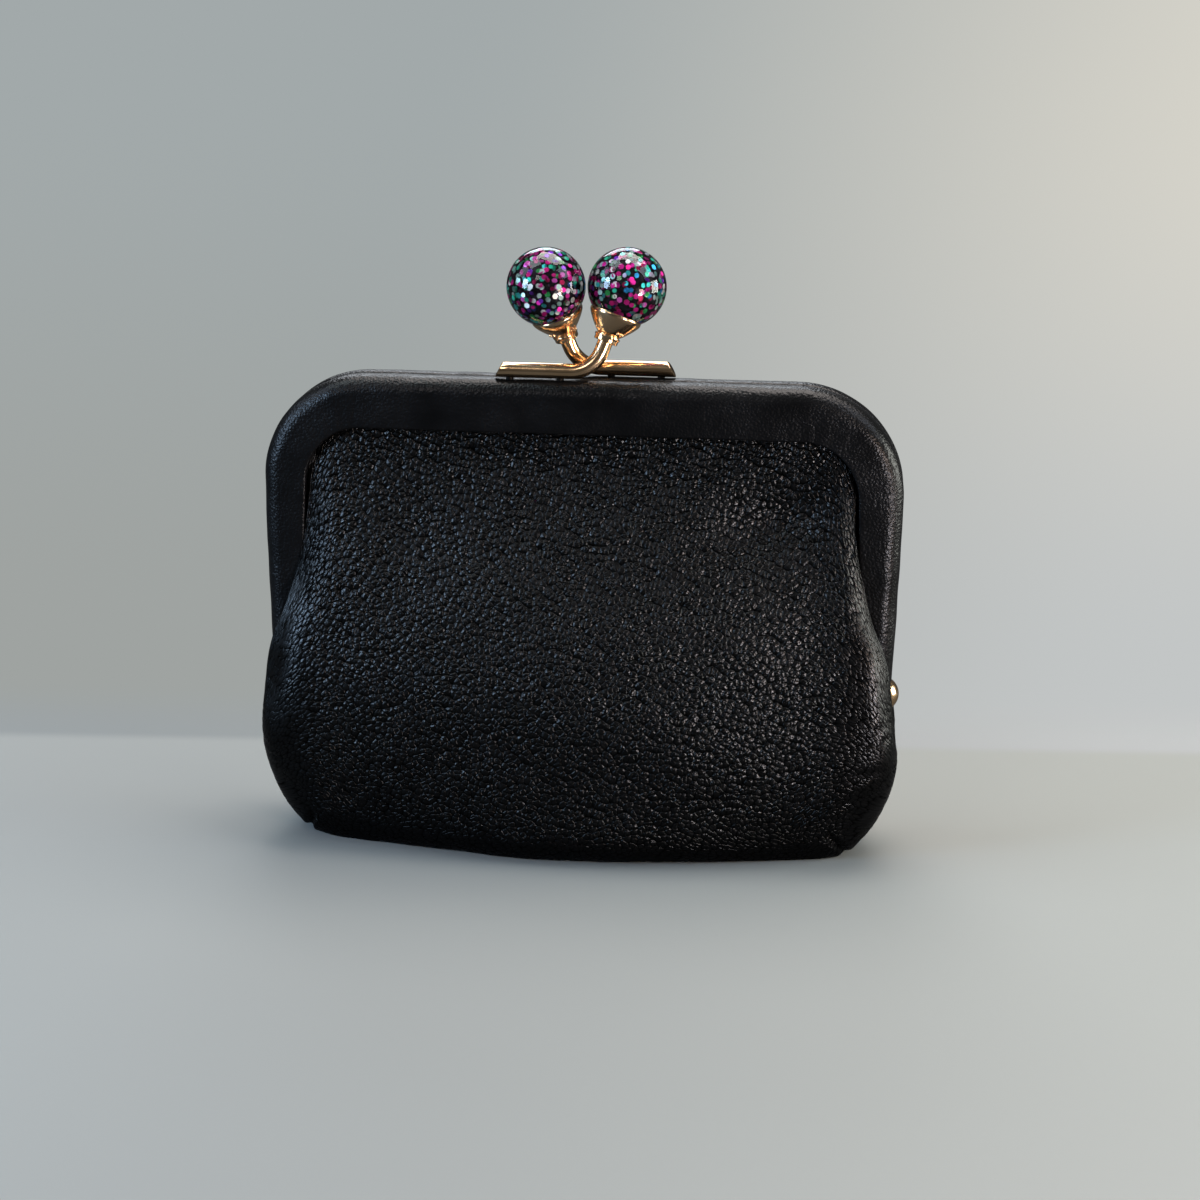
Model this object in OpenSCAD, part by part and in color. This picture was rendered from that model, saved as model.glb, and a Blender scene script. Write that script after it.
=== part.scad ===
// Coin purse with a leather-covered hinged frame and a kiss lock of two ball knobs.
// Millimetres. The origin is on the ground under the middle of the purse: +X right, -Y front, +Z up.
// A frame half is drawn once, for the front, and mirrored in the plane y = 0 for the rear.
// In a frame section, q is the distance from the plane y = 0 and s the depth in from the outer edge.

/* [Frame] */
// Width over the frame
frame_w = 122; // [100:1:150]
// Height of the top of the frame above the ground
frame_top = 92; // [80:1:120]
// Distance of the hinge axis below the top of the frame
hinge_drop = 60; // [50:1:66]
// Radius of the frame's outer top corners
corner_r = 20.5; // [14:0.5:26]
// Radius of the frame's inner top corners
inner_corner_r = 11; // [8:0.5:14]
// Width of the band seen from the front, along the top
band_top = 9.9; // [9:0.1:12]
// Width of the band at the head of each leg
band_side = 8.4; // [7.5:0.1:10]
// Width of the band at the foot of each leg
band_foot = 6.2; // [5.8:0.1:7.5]
// How far the foot of each leg leans in
leg_lean = 0.7; // [0:0.1:2]
// Gap between the foot of a leg and the round ear of the hinge
foot_gap = 0.6; // [0.4:0.1:2]
// Half of the gap between the closed halves
mouth_gap = 0.15; // [0.1:0.05:0.5]
// Radius of the rounded front shoulder of the band
shoulder_r = 2.5; // [1.8:0.1:3]
// Radius of the back edge of the band
back_edge_r = 1; // [0.8:0.1:1.2]

/* [Frame layers] */
// Thickness of the leather that covers the frame
cover_t = 0.75; // [0.6:0.05:1]
// Thickness of the padding under the front of the cover
padding_t = 0.3; // [0.2:0.05:0.6]
// Thickness of the steel channel
steel_t = 0.6; // [0.4:0.05:0.8]
// Width of the slot in the channel that holds the edge of the pouch
slot_w = 2.5; // [2.4:0.05:3]
// Depth of the back of the channel below the outer edge of the cover
channel_inset = 1.7; // [1.6:0.05:2]
// Lip of leather turned over the edges of the channel
lip = 0.45; // [0.3:0.05:0.7]
// Gap between layers that are glued together
glue_gap = 0.05; // [0.03:0.01:0.08]

/* [Hinge] */
// Radius of the round ears
ear_r = 3; // [2.6:0.1:3.4]
// Thickness of each ear
ear_t = 0.7; // [0.5:0.05:0.9]
// Gap between the two ears of a hinge
ear_gap = 0.1; // [0.05:0.05:0.3]
// How far an ear reaches up into the foot of its leg
ear_reach = 5; // [4:0.5:8]
// Radius of the rivet
rivet_r = 1; // [0.8:0.05:1.2]
// Radial running clearance of the rivet in the front ear, which turns on it
rivet_clear = 0.05; // [0.02:0.01:0.09]
// Radial gap of the rivet in the rear ear, which holds it
rivet_seat_gap = 0.01; // [0.005:0.005:0.02]
// Radius of the domed outer head
dome_r = 3.1; // [2.4:0.1:3.4]
// Height of the domed outer head
dome_h = 1.9; // [1:0.1:2.4]
// Radius of the flat inner head
inner_head_r = 1.8; // [1.5:0.1:2.2]
// Thickness of the flat inner head
inner_head_t = 0.6; // [0.4:0.1:0.9]

/* [Clasp] */
// Diameter of the clasp bars
bar_d = 2.9; // [2.4:0.1:3.2]
// Distance of each bar from the plane where the halves meet
bar_q = 2.5; // [2.2:0.1:2.8]
// Gap between the bars and the top of the frame
bar_lift = 0.2; // [0.1:0.05:0.6]
// Length of the straight part of a bar past the middle of the clasp
bar_reach = 17; // [14:0.5:22]
// Slant of the cut at the end of a bar
end_slant = 28; // [0:1:40]
// Radius of the bend from bar to stem
bend_r = 6.2; // [4:0.1:8]
// Angle of the bend from bar to stem
bend_angle = 70; // [60:1:78]
// Lean of each stem towards the other half
stem_lean = 13; // [8:1:15]
// Distance from the end of the bend to the middle of the knob
stem_len = 12.7; // [11.5:0.1:16]
// Distance between the two knobs, along the frame
knob_pitch = 15; // [15:0.1:18]
// Distance of the clasp from the middle of the frame
clasp_shift = 0.5; // [-3:0.1:3]
// Radius of the posts that carry a bar
post_r = 0.7; // [0.5:0.05:0.8]
// Radius of the riveted heads of the posts
post_head_r = 0.9; // [0.8:0.05:0.95]
// Thickness of the riveted heads of the posts
post_head_t = 0.7; // [0.4:0.05:0.8]
// Distance of the first post of a bar from the middle of the clasp
post_start = 4.6; // [4.5:0.1:5.5]
// Distance between the two posts of a bar
post_pitch = 9.5; // [7:0.5:11]
// Radial gap around the posts in the steel and in the bar
post_gap = 0.025; // [0.015:0.005:0.04]

/* [Knobs] */
// Diameter of the clear ball
ball_d = 14.8; // [12:0.1:14.8]
// Thickness of the clear resin around the dark core
resin_t = 0.8; // [0.5:0.1:2]
// Radius of the spigot that holds a ball
spigot_r = 0.9; // [0.6:0.1:1.1]
// Depth of the spigot in the ball
spigot_len = 3.6; // [2:0.1:5]
// Radius of the rim of the bell cap
cap_rim_r = 5; // [4.2:0.1:5.6]
// Radius of the collar under the bell cap
collar_r = 2.3; // [1.9:0.1:2.8]
// Distance from the middle of the ball to the rim of its cap
cap_drop = 6.4; // [5.6:0.1:6.8]
// Height of the bell cap
cap_h = 3.2; // [2.4:0.1:4]
// Thickness of the rim of the bell cap
cap_rim_t = 0.4; // [0.2:0.05:0.8]
// Step from the neck of the bell cap out to the collar
cap_step = 0.3; // [0.1:0.05:0.5]
// Height of the collar
collar_h = 1.4; // [0.8:0.1:2]
// Gap between the parts of a knob
knob_gap = 0.03; // [0.02:0.01:0.08]

/* [Pouch] */
// Widest part of the pouch, from side to side
pouch_w = 123.6; // [110:1:150]
// Width of the pouch between its bottom corners
base_w = 107; // [90:1:120]
// Depth of the pouch, from front to back
pouch_depth = 38; // [32:1:50]
// Depth of its underside in the middle, from front to back
base_depth = 35.6; // [28:0.2:44]
// Height of the bottom seam above the ground
seam_lift = 1.2; // [0.8:0.1:2]
// Distance of the top of the side seam below the hinge axis
seam_drop = 2.4; // [1.8:0.1:4]
// Distance of the top of the side seam outwards from the inner edge of the foot
seam_out = 0.6; // [0.2:0.1:1.5]
// Height of the fullest part of the side seam
side_height = 12; // [8:0.5:18]
// How far the side seam swells out below the hinge
side_swell = 3.8; // [3:0.1:6]
// Thickness of the pouch leather
leather_t = 1.1; // [0.8:0.05:1.25]
// Thickness of the lining
lining_t = 0.4; // [0.2:0.05:0.5]
// Gap between leather and lining
lining_gap = 0.15; // [0.1:0.05:0.25]
// Half of the gap between the front and rear leather along the seam
seam_gap = 0.06; // [0.05:0.01:0.2]
// Gap between the leather and the front wall of the slot
slot_gap = 0.1; // [0.05:0.01:0.2]
// Depth of the hidden edge of the pouch below the outer edge of the frame
tuck = 3.3; // [3.1:0.1:3.6]

/* [Hidden] */

// Colours, as seen
leather_black = [0.07, 0.07, 0.08];
cover_black = [0.10, 0.10, 0.11];
lining_grey = [0.25, 0.25, 0.27];
foam_grey = [0.55, 0.55, 0.57];
paper_tan = [0.72, 0.62, 0.46];
steel_gold = [0.72, 0.60, 0.38];
gold = [0.86, 0.68, 0.42];
core_dark = [0.10, 0.03, 0.12];
resin = [0.55, 0.25, 0.60, 0.45];

// Smoothness of round parts, and the overrun of every cut
round_fn = 64;
cut = 1;

// Heights and half widths of the frame
hinge_z = frame_top - hinge_drop;
foot_z = hinge_z + ear_r + foot_gap;
half_w = frame_w / 2;
corner_x = half_w - corner_r;
corner_z = frame_top - corner_r;
inner_half_w = half_w - band_side;
inner_corner_x = inner_half_w - inner_corner_r;
inner_corner_z = frame_top - band_top - inner_corner_r;
leg_h = corner_z - foot_z;
leg_arc_r = leg_lean > 0 ? (pow(leg_h, 2) + pow(leg_lean, 2)) / (2 * leg_lean) : 1e6;
leg_turn = asin(leg_h / leg_arc_r);

// Levels of the layers of a half, as distances q from the plane where the halves meet
channel_back_q = mouth_gap + cover_t + glue_gap;
slot_back_q = channel_back_q + steel_t;
slot_front_q = slot_back_q + slot_w;
channel_front_q = slot_front_q + steel_t;
padding_front_q = channel_front_q + glue_gap + padding_t;
band_front_q = padding_front_q + glue_gap + cover_t;
panel_q = slot_front_q - slot_gap;
web_s = channel_inset + steel_t;

// A place along the frame is a number p: 0 is the middle of the top, 1 the start of the corner,
// 2 the end of the corner and 3 the foot of the leg. Left places are negative.
// Each function gives [x, z] on the right side for p from 0 to 3.
function outer_right(p) =
    p <= 1 ? [p * corner_x, frame_top]
    : p <= 2 ? [corner_x, corner_z] + corner_r * [sin(90 * (p - 1)), cos(90 * (p - 1))]
    : [half_w - leg_arc_r + leg_arc_r * cos(leg_turn * (p - 2)),
       corner_z - leg_arc_r * sin(leg_turn * (p - 2))];
function inner_right(p) =
    p <= 1 ? [p * inner_corner_x, frame_top - band_top]
    : p <= 2 ? [inner_corner_x, inner_corner_z] + inner_corner_r * [sin(90 * (p - 1)), cos(90 * (p - 1))]
    : [inner_half_w + (outer_right(3).x - band_foot - inner_half_w) * (p - 2),
       inner_corner_z + (foot_z - inner_corner_z) * (p - 2)];
// Unit vector from the outer edge into the band, level along the legs
function inward_right(p) =
    p <= 1 ? [0, -1]
    : p <= 2 ? -[sin(90 * (p - 1)), cos(90 * (p - 1))]
    : [-1, 0];
function mirrored(p, v) = p < 0 ? [-v.x, v.y] : v;
function outer_at(p) = mirrored(p, outer_right(abs(p)));
function inner_at(p) = mirrored(p, inner_right(abs(p)));
function inward_at(p) = mirrored(p, inward_right(abs(p)));
// Points of the band: s in from the outer edge, or d out from the inner edge
function from_outer(p, s) = outer_at(p) + inward_at(p) * s;
function from_inner(p, d) = inner_at(p) - inward_at(p) * d;

// Stations of the frame from the right foot over the top to the left foot
corner_steps = 7;
leg_steps = 4;
right_stations = concat(
    [for (i = [0 : leg_steps - 1]) 3 - i / leg_steps],
    [for (i = [0 : corner_steps]) 2 - i / corner_steps]
);
function with_left(stations) = concat(stations, [for (i = [len(stations) - 1 : -1 : 0]) -stations[i]]);
frame_stations = with_left(right_stations);

// Closed outline of the band between s from the outer edge and d from the inner edge
function band_outline(s, d) = concat(
    [for (p = frame_stations) from_outer(p, s)],
    [for (i = [len(frame_stations) - 1 : -1 : 0]) from_inner(frame_stations[i], d)]
);
function strip_outline(s1, s2) = concat(
    [for (p = frame_stations) from_outer(p, s1)],
    [for (i = [len(frame_stations) - 1 : -1 : 0]) from_outer(frame_stations[i], s2)]
);
// A flat plate of the front half from q1 to q2
module plate(outline, q1, q2) {
    translate([0, -q1, 0])
        rotate([90, 0, 0])
            linear_extrude(height = q2 - q1)
                polygon(outline);
}

// A place in a section: [q, distance, edge], where edge 0 measures s and edge 1 measures d.
// A section is two lists of places, one along each skin, matched place by place.
function arc_section(r, from, to, steps) =
    [for (i = [0 : steps]) let (a = from + (to - from) * i / steps) [r * cos(a), r * sin(a), 0]];
function shifted(places, q, s) = [for (v = places) [v[0] + q, v[1] + s, v[2]]];
shoulder_q = band_front_q - shoulder_r;
back_edge_q = mouth_gap + back_edge_r;
nose_r = 0.4;
// Places beside the lip that match the two skins of the cover
lip_low = lip * 0.6;
lip_high = lip * 1.6;
back_steps = 2;
shoulder_steps = 6;
cover_outside = concat(
    [[mouth_gap, 0, 1], [mouth_gap, lip_low, 1], [mouth_gap, lip_high, 1]],
    shifted(arc_section(back_edge_r, 180, 270, back_steps), back_edge_q, back_edge_r),
    shifted(arc_section(shoulder_r, 270, 360, shoulder_steps), shoulder_q, shoulder_r),
    [[band_front_q, lip_high, 1], [band_front_q, nose_r, 1], [band_front_q - nose_r, 0, 1]]
);
back_lip_q = slot_back_q - glue_gap;
front_lip_q = slot_front_q + glue_gap;
cover_inside = concat(
    [[back_lip_q, 0, 1], [back_lip_q, lip, 1], [mouth_gap + cover_t, lip, 1]],
    shifted(arc_section(back_edge_r - cover_t, 180, 270, back_steps), back_edge_q, back_edge_r),
    shifted(arc_section(shoulder_r - cover_t, 270, 360, shoulder_steps), shoulder_q, shoulder_r),
    [[band_front_q - cover_t, lip, 1], [front_lip_q, lip, 1], [front_lip_q, 0, 1]]
);
// The padding fills the space between the cover and the corner of the channel
padding_arc = shifted(
    arc_section(shoulder_r - cover_t - glue_gap, 270, 360, shoulder_steps), shoulder_q, shoulder_r
);
padding_back_q = channel_front_q + glue_gap;
padding_floor_s = channel_inset - 2 * glue_gap;
padding_outside = concat(
    [[back_edge_q, cover_t + glue_gap, 0]], padding_arc, [[padding_front_q, lip + 2 * glue_gap, 1]]
);
padding_inside = concat(
    [[back_edge_q, padding_floor_s, 0]],
    [for (v = padding_arc) [min(v[0], padding_back_q), max(v[1], padding_floor_s), 0]],
    [[padding_back_q, lip + 2 * glue_gap, 1]]
);
function section_point(p, c) =
    let (xz = c[2] == 0 ? from_outer(p, c[1]) : from_inner(p, c[1])) [xz.x, -c[0], xz.y];

// Triangles of a grid of rows by columns, wound one way or the other
function grid_faces(rows, cols, start, flip) = [
    for (i = [0 : rows - 2], j = [0 : cols - 2])
        let (a = start + i * cols + j, b = a + 1, c = a + cols + 1, d = a + cols)
        each (flip ? [[a, d, c], [a, c, b]] : [[a, b, c], [a, c, d]])
];
// The end of a sweep, across the two skins along the shorter diagonals
function end_faces(points, start, half_n, flip) = [
    for (j = [0 : half_n - 2])
        let (
            a = start + j, b = a + 1, d = start + 2 * half_n - 1 - j, c = d - 1,
            near = norm(points[a] - points[c]) < norm(points[b] - points[d]),
            pair = near ? [[a, b, c], [a, c, d]] : [[a, b, d], [b, c, d]]
        )
        each [for (t = pair) flip ? [t[0], t[2], t[1]] : t]
];
// A section carried along stations of the frame
module sweep(stations, outside, inside) {
    half_n = len(outside);
    n = 2 * half_n;
    m = len(stations);
    loop = concat(outside, [for (i = [half_n - 1 : -1 : 0]) inside[i]]);
    points = [for (p = stations, c = loop) section_point(p, c)];
    sides = [
        for (i = [0 : m - 2], j = [0 : n - 1])
            let (k = (j + 1) % n, a = i * n + j, b = i * n + k, c = (i + 1) * n + k, d = (i + 1) * n + j)
            each [[a, b, c], [a, c, d]]
    ];
    polyhedron(
        points = points,
        faces = concat(
            sides, end_faces(points, 0, half_n, true), end_faces(points, (m - 1) * n, half_n, false)
        ),
        convexity = 8
    );
}

// The same thing on the front half or, mirrored, on the rear half
module half(rear) {
    if (rear) {
        mirror([0, 1, 0]) children();
    } else {
        children();
    }
}
// Front clasp parts as they are, or turned about the middle of the clasp for the rear
module clasp_half(rear) {
    translate([clasp_shift, 0, 0])
        rotate([0, 0, rear ? 180 : 0])
            children();
}

// Posts of a bar, from the middle of the clasp towards the straight end
module at_posts() {
    for (x = [-post_start, -post_start - post_pitch]) {
        translate([x, -bar_q, 0]) children();
    }
}
module post_holes(clear) {
    at_posts()
        translate([0, 0, frame_top - web_s - cut])
            cylinder(r = post_r + clear, h = web_s + 2 * cut, $fn = round_fn);
}

// Leather cover of a frame half, open along the slot
module frame_cover(rear) {
    color(cover_black)
        difference() {
            half(rear) sweep(frame_stations, cover_outside, cover_inside);
            clasp_half(rear) post_holes(glue_gap);
        }
}
// Padding between the channel and the front of the cover, clear of the ears at the feet
padding_end = 2.8;
padding_stations = with_left(concat([padding_end], [for (p = right_stations) if (p < padding_end) p]));
module frame_padding(rear) {
    color(foam_grey)
        difference() {
            half(rear) sweep(padding_stations, padding_outside, padding_inside);
            clasp_half(rear) post_holes(glue_gap);
        }
}

// Ears: the front pair lies inside the rear pair
web_x = outer_right(3).x - channel_inset;
front_ear_x = web_x - ear_t;
rear_ear_x = web_x + ear_gap;
ear_top = foot_z + ear_reach;
module ear(rear) {
    x = rear ? rear_ear_x : front_ear_x;
    // Clear of the rounded shoulder of the cover
    neck_q = rear ? shoulder_q : channel_front_q;
    hole_r = rear ? rivet_r + rivet_seat_gap : rivet_r + rivet_clear;
    neck = [
        [neck_q, ear_top], [channel_back_q, ear_top], [channel_back_q, foot_z],
        [0, hinge_z], [ear_r * sin(45), hinge_z - ear_r * cos(45)], [neck_q, foot_z + cut]
    ];
    // The blade and the pad that joins it to the channel
    difference() {
        union() {
            translate([x, 0, hinge_z])
                rotate([0, 90, 0])
                    cylinder(r = ear_r, h = ear_t, $fn = round_fn);
            translate([x, 0, 0])
                rotate([90, 0, 90])
                    linear_extrude(height = ear_t)
                        polygon([for (v = neck) [-v[0], v[1]]]);
            translate([front_ear_x, -neck_q, foot_z])
                cube([x + ear_t - front_ear_x, neck_q - slot_back_q, ear_reach]);
        }
        translate([x - cut, 0, hinge_z])
            rotate([0, 90, 0])
                cylinder(r = hole_r, h = ear_t + 2 * cut, $fn = round_fn);
    }
}
// Steel channel: front wall, back wall and the web between them, with an ear at each foot
module frame_channel(rear) {
    color(steel_gold)
        difference() {
            union() {
                half(rear) {
                    plate(band_outline(channel_inset, lip + glue_gap), channel_back_q, slot_back_q);
                    plate(band_outline(channel_inset, lip + glue_gap), slot_front_q, channel_front_q);
                    plate(strip_outline(channel_inset, web_s), channel_back_q, channel_front_q);
                    ear(rear);
                    mirror([1, 0, 0]) ear(rear);
                }
            }
            clasp_half(rear) post_holes(post_gap);
        }
}
// Paper cord that packs the edge of the pouch into the slot and fills what is left of its width
cord_q = slot_back_q + glue_gap;
cord_front_q = panel_q - leather_t - lining_gap - lining_t - 2 * glue_gap;
module paper_cord(rear) {
    color(paper_tan)
        half(rear)
            plate(band_outline(tuck, lip + 3 * glue_gap), cord_q, cord_front_q);
}

// Hinge rivet on the right: shank, flat inner head and domed outer head
shank_x = front_ear_x - glue_gap;
dome_x = rear_ear_x + ear_t + glue_gap;
dome_sphere_r = (pow(dome_r, 2) + pow(dome_h, 2)) / (2 * dome_h);
module hinge_rivet() {
    color(gold)
        translate([0, 0, hinge_z])
            rotate([0, 90, 0]) {
                translate([0, 0, shank_x - inner_head_t])
                    cylinder(r = inner_head_r, h = inner_head_t, $fn = round_fn);
                translate([0, 0, shank_x - inner_head_t])
                    cylinder(r = rivet_r, h = dome_x - shank_x + inner_head_t + cut / 2, $fn = round_fn);
                intersection() {
                    translate([0, 0, dome_x + dome_h - dome_sphere_r])
                        sphere(r = dome_sphere_r, $fn = round_fn);
                    translate([0, 0, dome_x])
                        cylinder(r = dome_r + cut, h = dome_h + cut, $fn = round_fn);
                }
            }
}

// Clasp bar: straight part, bend and stem. The middle of the clasp is x = 0.
bar_z = frame_top + bar_lift + bar_d / 2;
bend_x = knob_pitch / 2 - bend_r * sin(bend_angle) - stem_len * cos(bend_angle);
ball_r = ball_d / 2;
stem_end = stem_len - ball_r - knob_gap;
// Radius of the solid metal that runs across both ends of the bend
dowel_r = bar_d * 0.3;
// Moves to the end of the straight part, with Z along the lean of the stem
module at_bend() {
    translate([bend_x, -bar_q, bar_z])
        rotate([-stem_lean, 0, 0])
            children();
}
// Moves to the start of the stem, with Z along it
module at_stem() {
    at_bend()
        translate([bend_r * sin(bend_angle), 0, bend_r * (1 - cos(bend_angle))])
            rotate([0, 90 - bend_angle, 0])
                children();
}
module at_knob() {
    at_stem()
        translate([0, 0, stem_len])
            children();
}
module clasp_bar(rear) {
    color(gold)
        clasp_half(rear)
            difference() {
                union() {
                    translate([-bar_reach, -bar_q, bar_z])
                        rotate([0, 90, 0])
                            cylinder(d = bar_d, h = bar_reach + bend_x, $fn = round_fn);
                    // Solid metal across the start of the bend
                    translate([bend_x - dowel_r, -bar_q, bar_z])
                        rotate([0, 90, 0])
                            cylinder(r = dowel_r, h = 2 * dowel_r, $fn = round_fn);
                    at_bend()
                        rotate([90, 0, 0])
                            translate([0, bend_r, 0])
                                rotate([0, 0, -90])
                                    rotate_extrude(angle = bend_angle, $fn = round_fn)
                                        translate([bend_r, 0])
                                            circle(d = bar_d, $fn = round_fn);
                    at_stem() {
                        cylinder(d = bar_d, h = stem_end, $fn = round_fn);
                        translate([0, 0, -dowel_r])
                            cylinder(r = dowel_r, h = dowel_r + stem_end / 2, $fn = round_fn);
                        translate([0, 0, stem_end / 2])
                            cylinder(r = spigot_r, h = stem_end / 2 + spigot_len, $fn = round_fn);
                    }
                }
                translate([-bar_reach, -bar_q, bar_z - bar_d / 2])
                    rotate([0, end_slant, 0])
                        translate([-bar_d, -bar_d, -bar_d])
                            cube([bar_d, 2 * bar_d, 3 * bar_d]);
                at_posts()
                    translate([0, 0, frame_top])
                        cylinder(r = post_r + post_gap, h = bar_z - frame_top, $fn = round_fn);
            }
}
// Posts from the slot of the channel into the bar, with riveted heads in the slot
module bar_posts(rear) {
    head_z = frame_top - web_s - post_gap;
    color(steel_gold)
        clasp_half(rear)
            at_posts() {
                translate([0, 0, head_z - post_head_t])
                    cylinder(r = post_head_r, h = post_head_t, $fn = round_fn);
                translate([0, 0, head_z - post_head_t])
                    cylinder(r = post_r, h = bar_z - head_z + post_head_t - glue_gap, $fn = round_fn);
            }
}

// Bell cap under a ball, with its collar on the stem
cap_steps = 6;
// 0 for a plain cone, 1 for a quarter of an ellipse
cap_roundness = 0.5;
cap_profile = concat(
    [[0, -cap_drop], [cap_rim_r, -cap_drop], [cap_rim_r, -cap_drop - cap_rim_t]],
    [for (i = [1 : cap_steps])
        let (t = i / cap_steps, round_t = 1 - sqrt(1 - t * t))
        [cap_rim_r + (collar_r - cap_step - cap_rim_r) * (t + cap_roundness * (round_t - t)),
         -cap_drop - cap_rim_t - (cap_h - cap_rim_t) * t]],
    [[collar_r, -cap_drop - cap_h], [collar_r, -cap_drop - cap_h - collar_h],
     [0, -cap_drop - cap_h - collar_h]]
);
module knob_cap(rear) {
    color(gold)
        clasp_half(rear)
            at_knob()
                difference() {
                    rotate_extrude($fn = round_fn)
                        polygon(cap_profile);
                    sphere(r = ball_r + knob_gap, $fn = round_fn);
                    translate([0, 0, -stem_len])
                        cylinder(d = bar_d + 2 * knob_gap, h = stem_len, $fn = round_fn);
                }
}
// Dark core of a knob, and the clear resin ball around it
core_r = ball_r - resin_t;
module spigot_bore() {
    translate([0, 0, -ball_r - cut])
        cylinder(r = spigot_r + knob_gap, h = cut + spigot_len + knob_gap, $fn = round_fn);
}
module knob_core(rear) {
    color(core_dark)
        clasp_half(rear)
            at_knob()
                difference() {
                    sphere(r = core_r - knob_gap, $fn = round_fn);
                    spigot_bore();
                }
}
module knob_shell(rear) {
    color(resin)
        clasp_half(rear)
            at_knob()
                difference() {
                    sphere(r = ball_r, $fn = round_fn);
                    sphere(r = core_r, $fn = round_fn);
                    spigot_bore();
                }
}

// Pouch. A column of the leather starts in the slot at a place p of the frame and ends on the seam.
half_pouch = pouch_w / 2;
half_base = base_w / 2;
bulge = pouch_depth / 2;
base_bulge = base_depth / 2;
function mix(a, b, t) = a + (b - a) * t;
function ease(t) = let (c = min(max(t, 0), 1)) c * c * (3 - 2 * c);
// Side seam as a cubic curve from under the hinge to the bottom corner
seam_turn = 0.6;
seam_start = [inner_right(3).x + seam_out, hinge_z - seam_drop];
seam_a = [half_pouch - seam_turn, hinge_z - seam_drop - seam_turn];
seam_b = [half_pouch + side_swell, side_height];
seam_end = [half_base, seam_lift];
function side_seam(t) =
    pow(1 - t, 3) * seam_start + 3 * t * pow(1 - t, 2) * seam_a
    + 3 * t * t * (1 - t) * seam_b + pow(t, 3) * seam_end;
// The end of a column: the leg goes with the side seam, the top with the bottom seam
side_share = 0.8;
corner_share = 0.45;
straight_share = 0.82;
base_straight = half_base * straight_share;
function seam_right(p) =
    p <= 1 ? [base_straight * p, seam_lift]
    : p <= 2 - corner_share ? [mix(base_straight, half_base, (p - 1) / (1 - corner_share)), seam_lift]
    : p <= 2 ? side_seam(mix(1, side_share, (p - 2 + corner_share) / corner_share))
    : side_seam(side_share * (3 - p));
function seam_at(p) = mirrored(p, seam_right(abs(p)));

// How a column hangs: [share of the way to the seam, distance outwards, distance q].
// The first knot is at the slot and the last at the seam. Shares over 1 lie under the seam, on the ground.
function drop_hang(depth, low) = [
    [0, 0, panel_q], [0.08, 0, panel_q + 0.9], [0.25, 0, depth * 0.5], [0.45, 0, depth * 0.78],
    [0.65, 0, depth * 0.96], [0.85, 0, mix(depth, low, 0.2)], [0.975, 0, low], [1.03, 0, low * 0.62],
    [1, 0, seam_gap]
];
middle_hang = drop_hang(bulge, base_bulge);
shoulder_hang = drop_hang(bulge * 0.78, base_bulge * 0.57);
corner_hang = [
    [0, 0, panel_q], [0.03, -0.8, band_front_q + 0.4], [0.2, -1, band_front_q + 3], [0.4, 0, bulge * 0.61],
    [0.6, 1.2, bulge * 0.71], [0.78, 2, bulge * 0.66], [0.93, 1.8, bulge * 0.44], [1, 0.8, bulge * 0.2],
    [1, 0, seam_gap]
];
leg_hang = [
    [0, 0, panel_q], [0.01, -1.1, band_front_q + 0.6], [0.083, 0.3, band_front_q + 2.4],
    [0.25, 2.4, band_front_q + 3.8], [0.5, 2.75, band_front_q + 4.2], [0.75, 1.9, band_front_q + 3],
    [0.9, 1.4, band_front_q + 0.8], [0.975, 0.8, band_front_q - 2.6], [1, 0, seam_gap]
];
foot_hang = [
    [0, 0, panel_q], [0.01, -1.1, band_front_q + 0.6], [0.12, -0.9, band_front_q + 0.9],
    [0.3, -0.2, band_front_q + 0.4], [0.48, 0.3, band_front_q - 0.5], [0.64, 0.4, band_front_q - 1.6],
    [0.79, 0.35, band_front_q - 2.8], [0.92, 0.2, band_front_q - 4.2], [1, 0, seam_gap]
];
leg_peak = 2.65;
function hang(p) =
    let (a = abs(p))
    a <= 1 ? mix(middle_hang, shoulder_hang, a * a)
    : a <= 2 ? mix(shoulder_hang, corner_hang, ease(a - 1))
    : a <= leg_peak ? mix(corner_hang, leg_hang, ease((a - 2) / (leg_peak - 2)))
    : mix(leg_hang, foot_hang, ease((a - leg_peak) / (3 - leg_peak)));
// A smooth curve through knots, for t from 0 to 1
function through(k, t) =
    let (
        n = len(k) - 1, i = min(floor(t * n), n - 1), u = t * n - i,
        a = k[max(i - 1, 0)], b = k[i], c = k[i + 1], d = k[min(i + 2, n)]
    )
    0.5 * (
        2 * b + (c - a) * u + (2 * a - 5 * b + 4 * c - d) * u * u
        + (3 * b - a - 3 * c + d) * u * u * u
    );
// Outer face of the front leather
function panel_point(p, t) =
    let (
        k = through(hang(p), t), from = inner_at(p), to = seam_at(p),
        way = to - from, side = p < 0 ? -1 : 1
    )
    [from.x + way.x * k[0] + side * k[1], -max(k[2], seam_gap), max(from.y + way.y * k[0], 0)];

right_columns = [
    3, 2.94, 2.86, 2.77, 2.65, 2.5, 2.33, 2.15, 2, 1.85, 1.68, 1.5, 1.32, 1.15, 1, 0.75, 0.5, 0.25
];
columns = concat(right_columns, [0], [for (i = [len(right_columns) - 1 : -1 : 0]) -right_columns[i]]);
panel_rows = 16;
panel_grid = [
    for (p = columns) concat(
        [let (v = from_outer(p, tuck)) [v.x, -panel_q, v.y]],
        [for (j = [0 : panel_rows]) panel_point(p, j / panel_rows)]
    )
];
column_count = len(columns);
row_count = panel_rows + 2;
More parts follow.
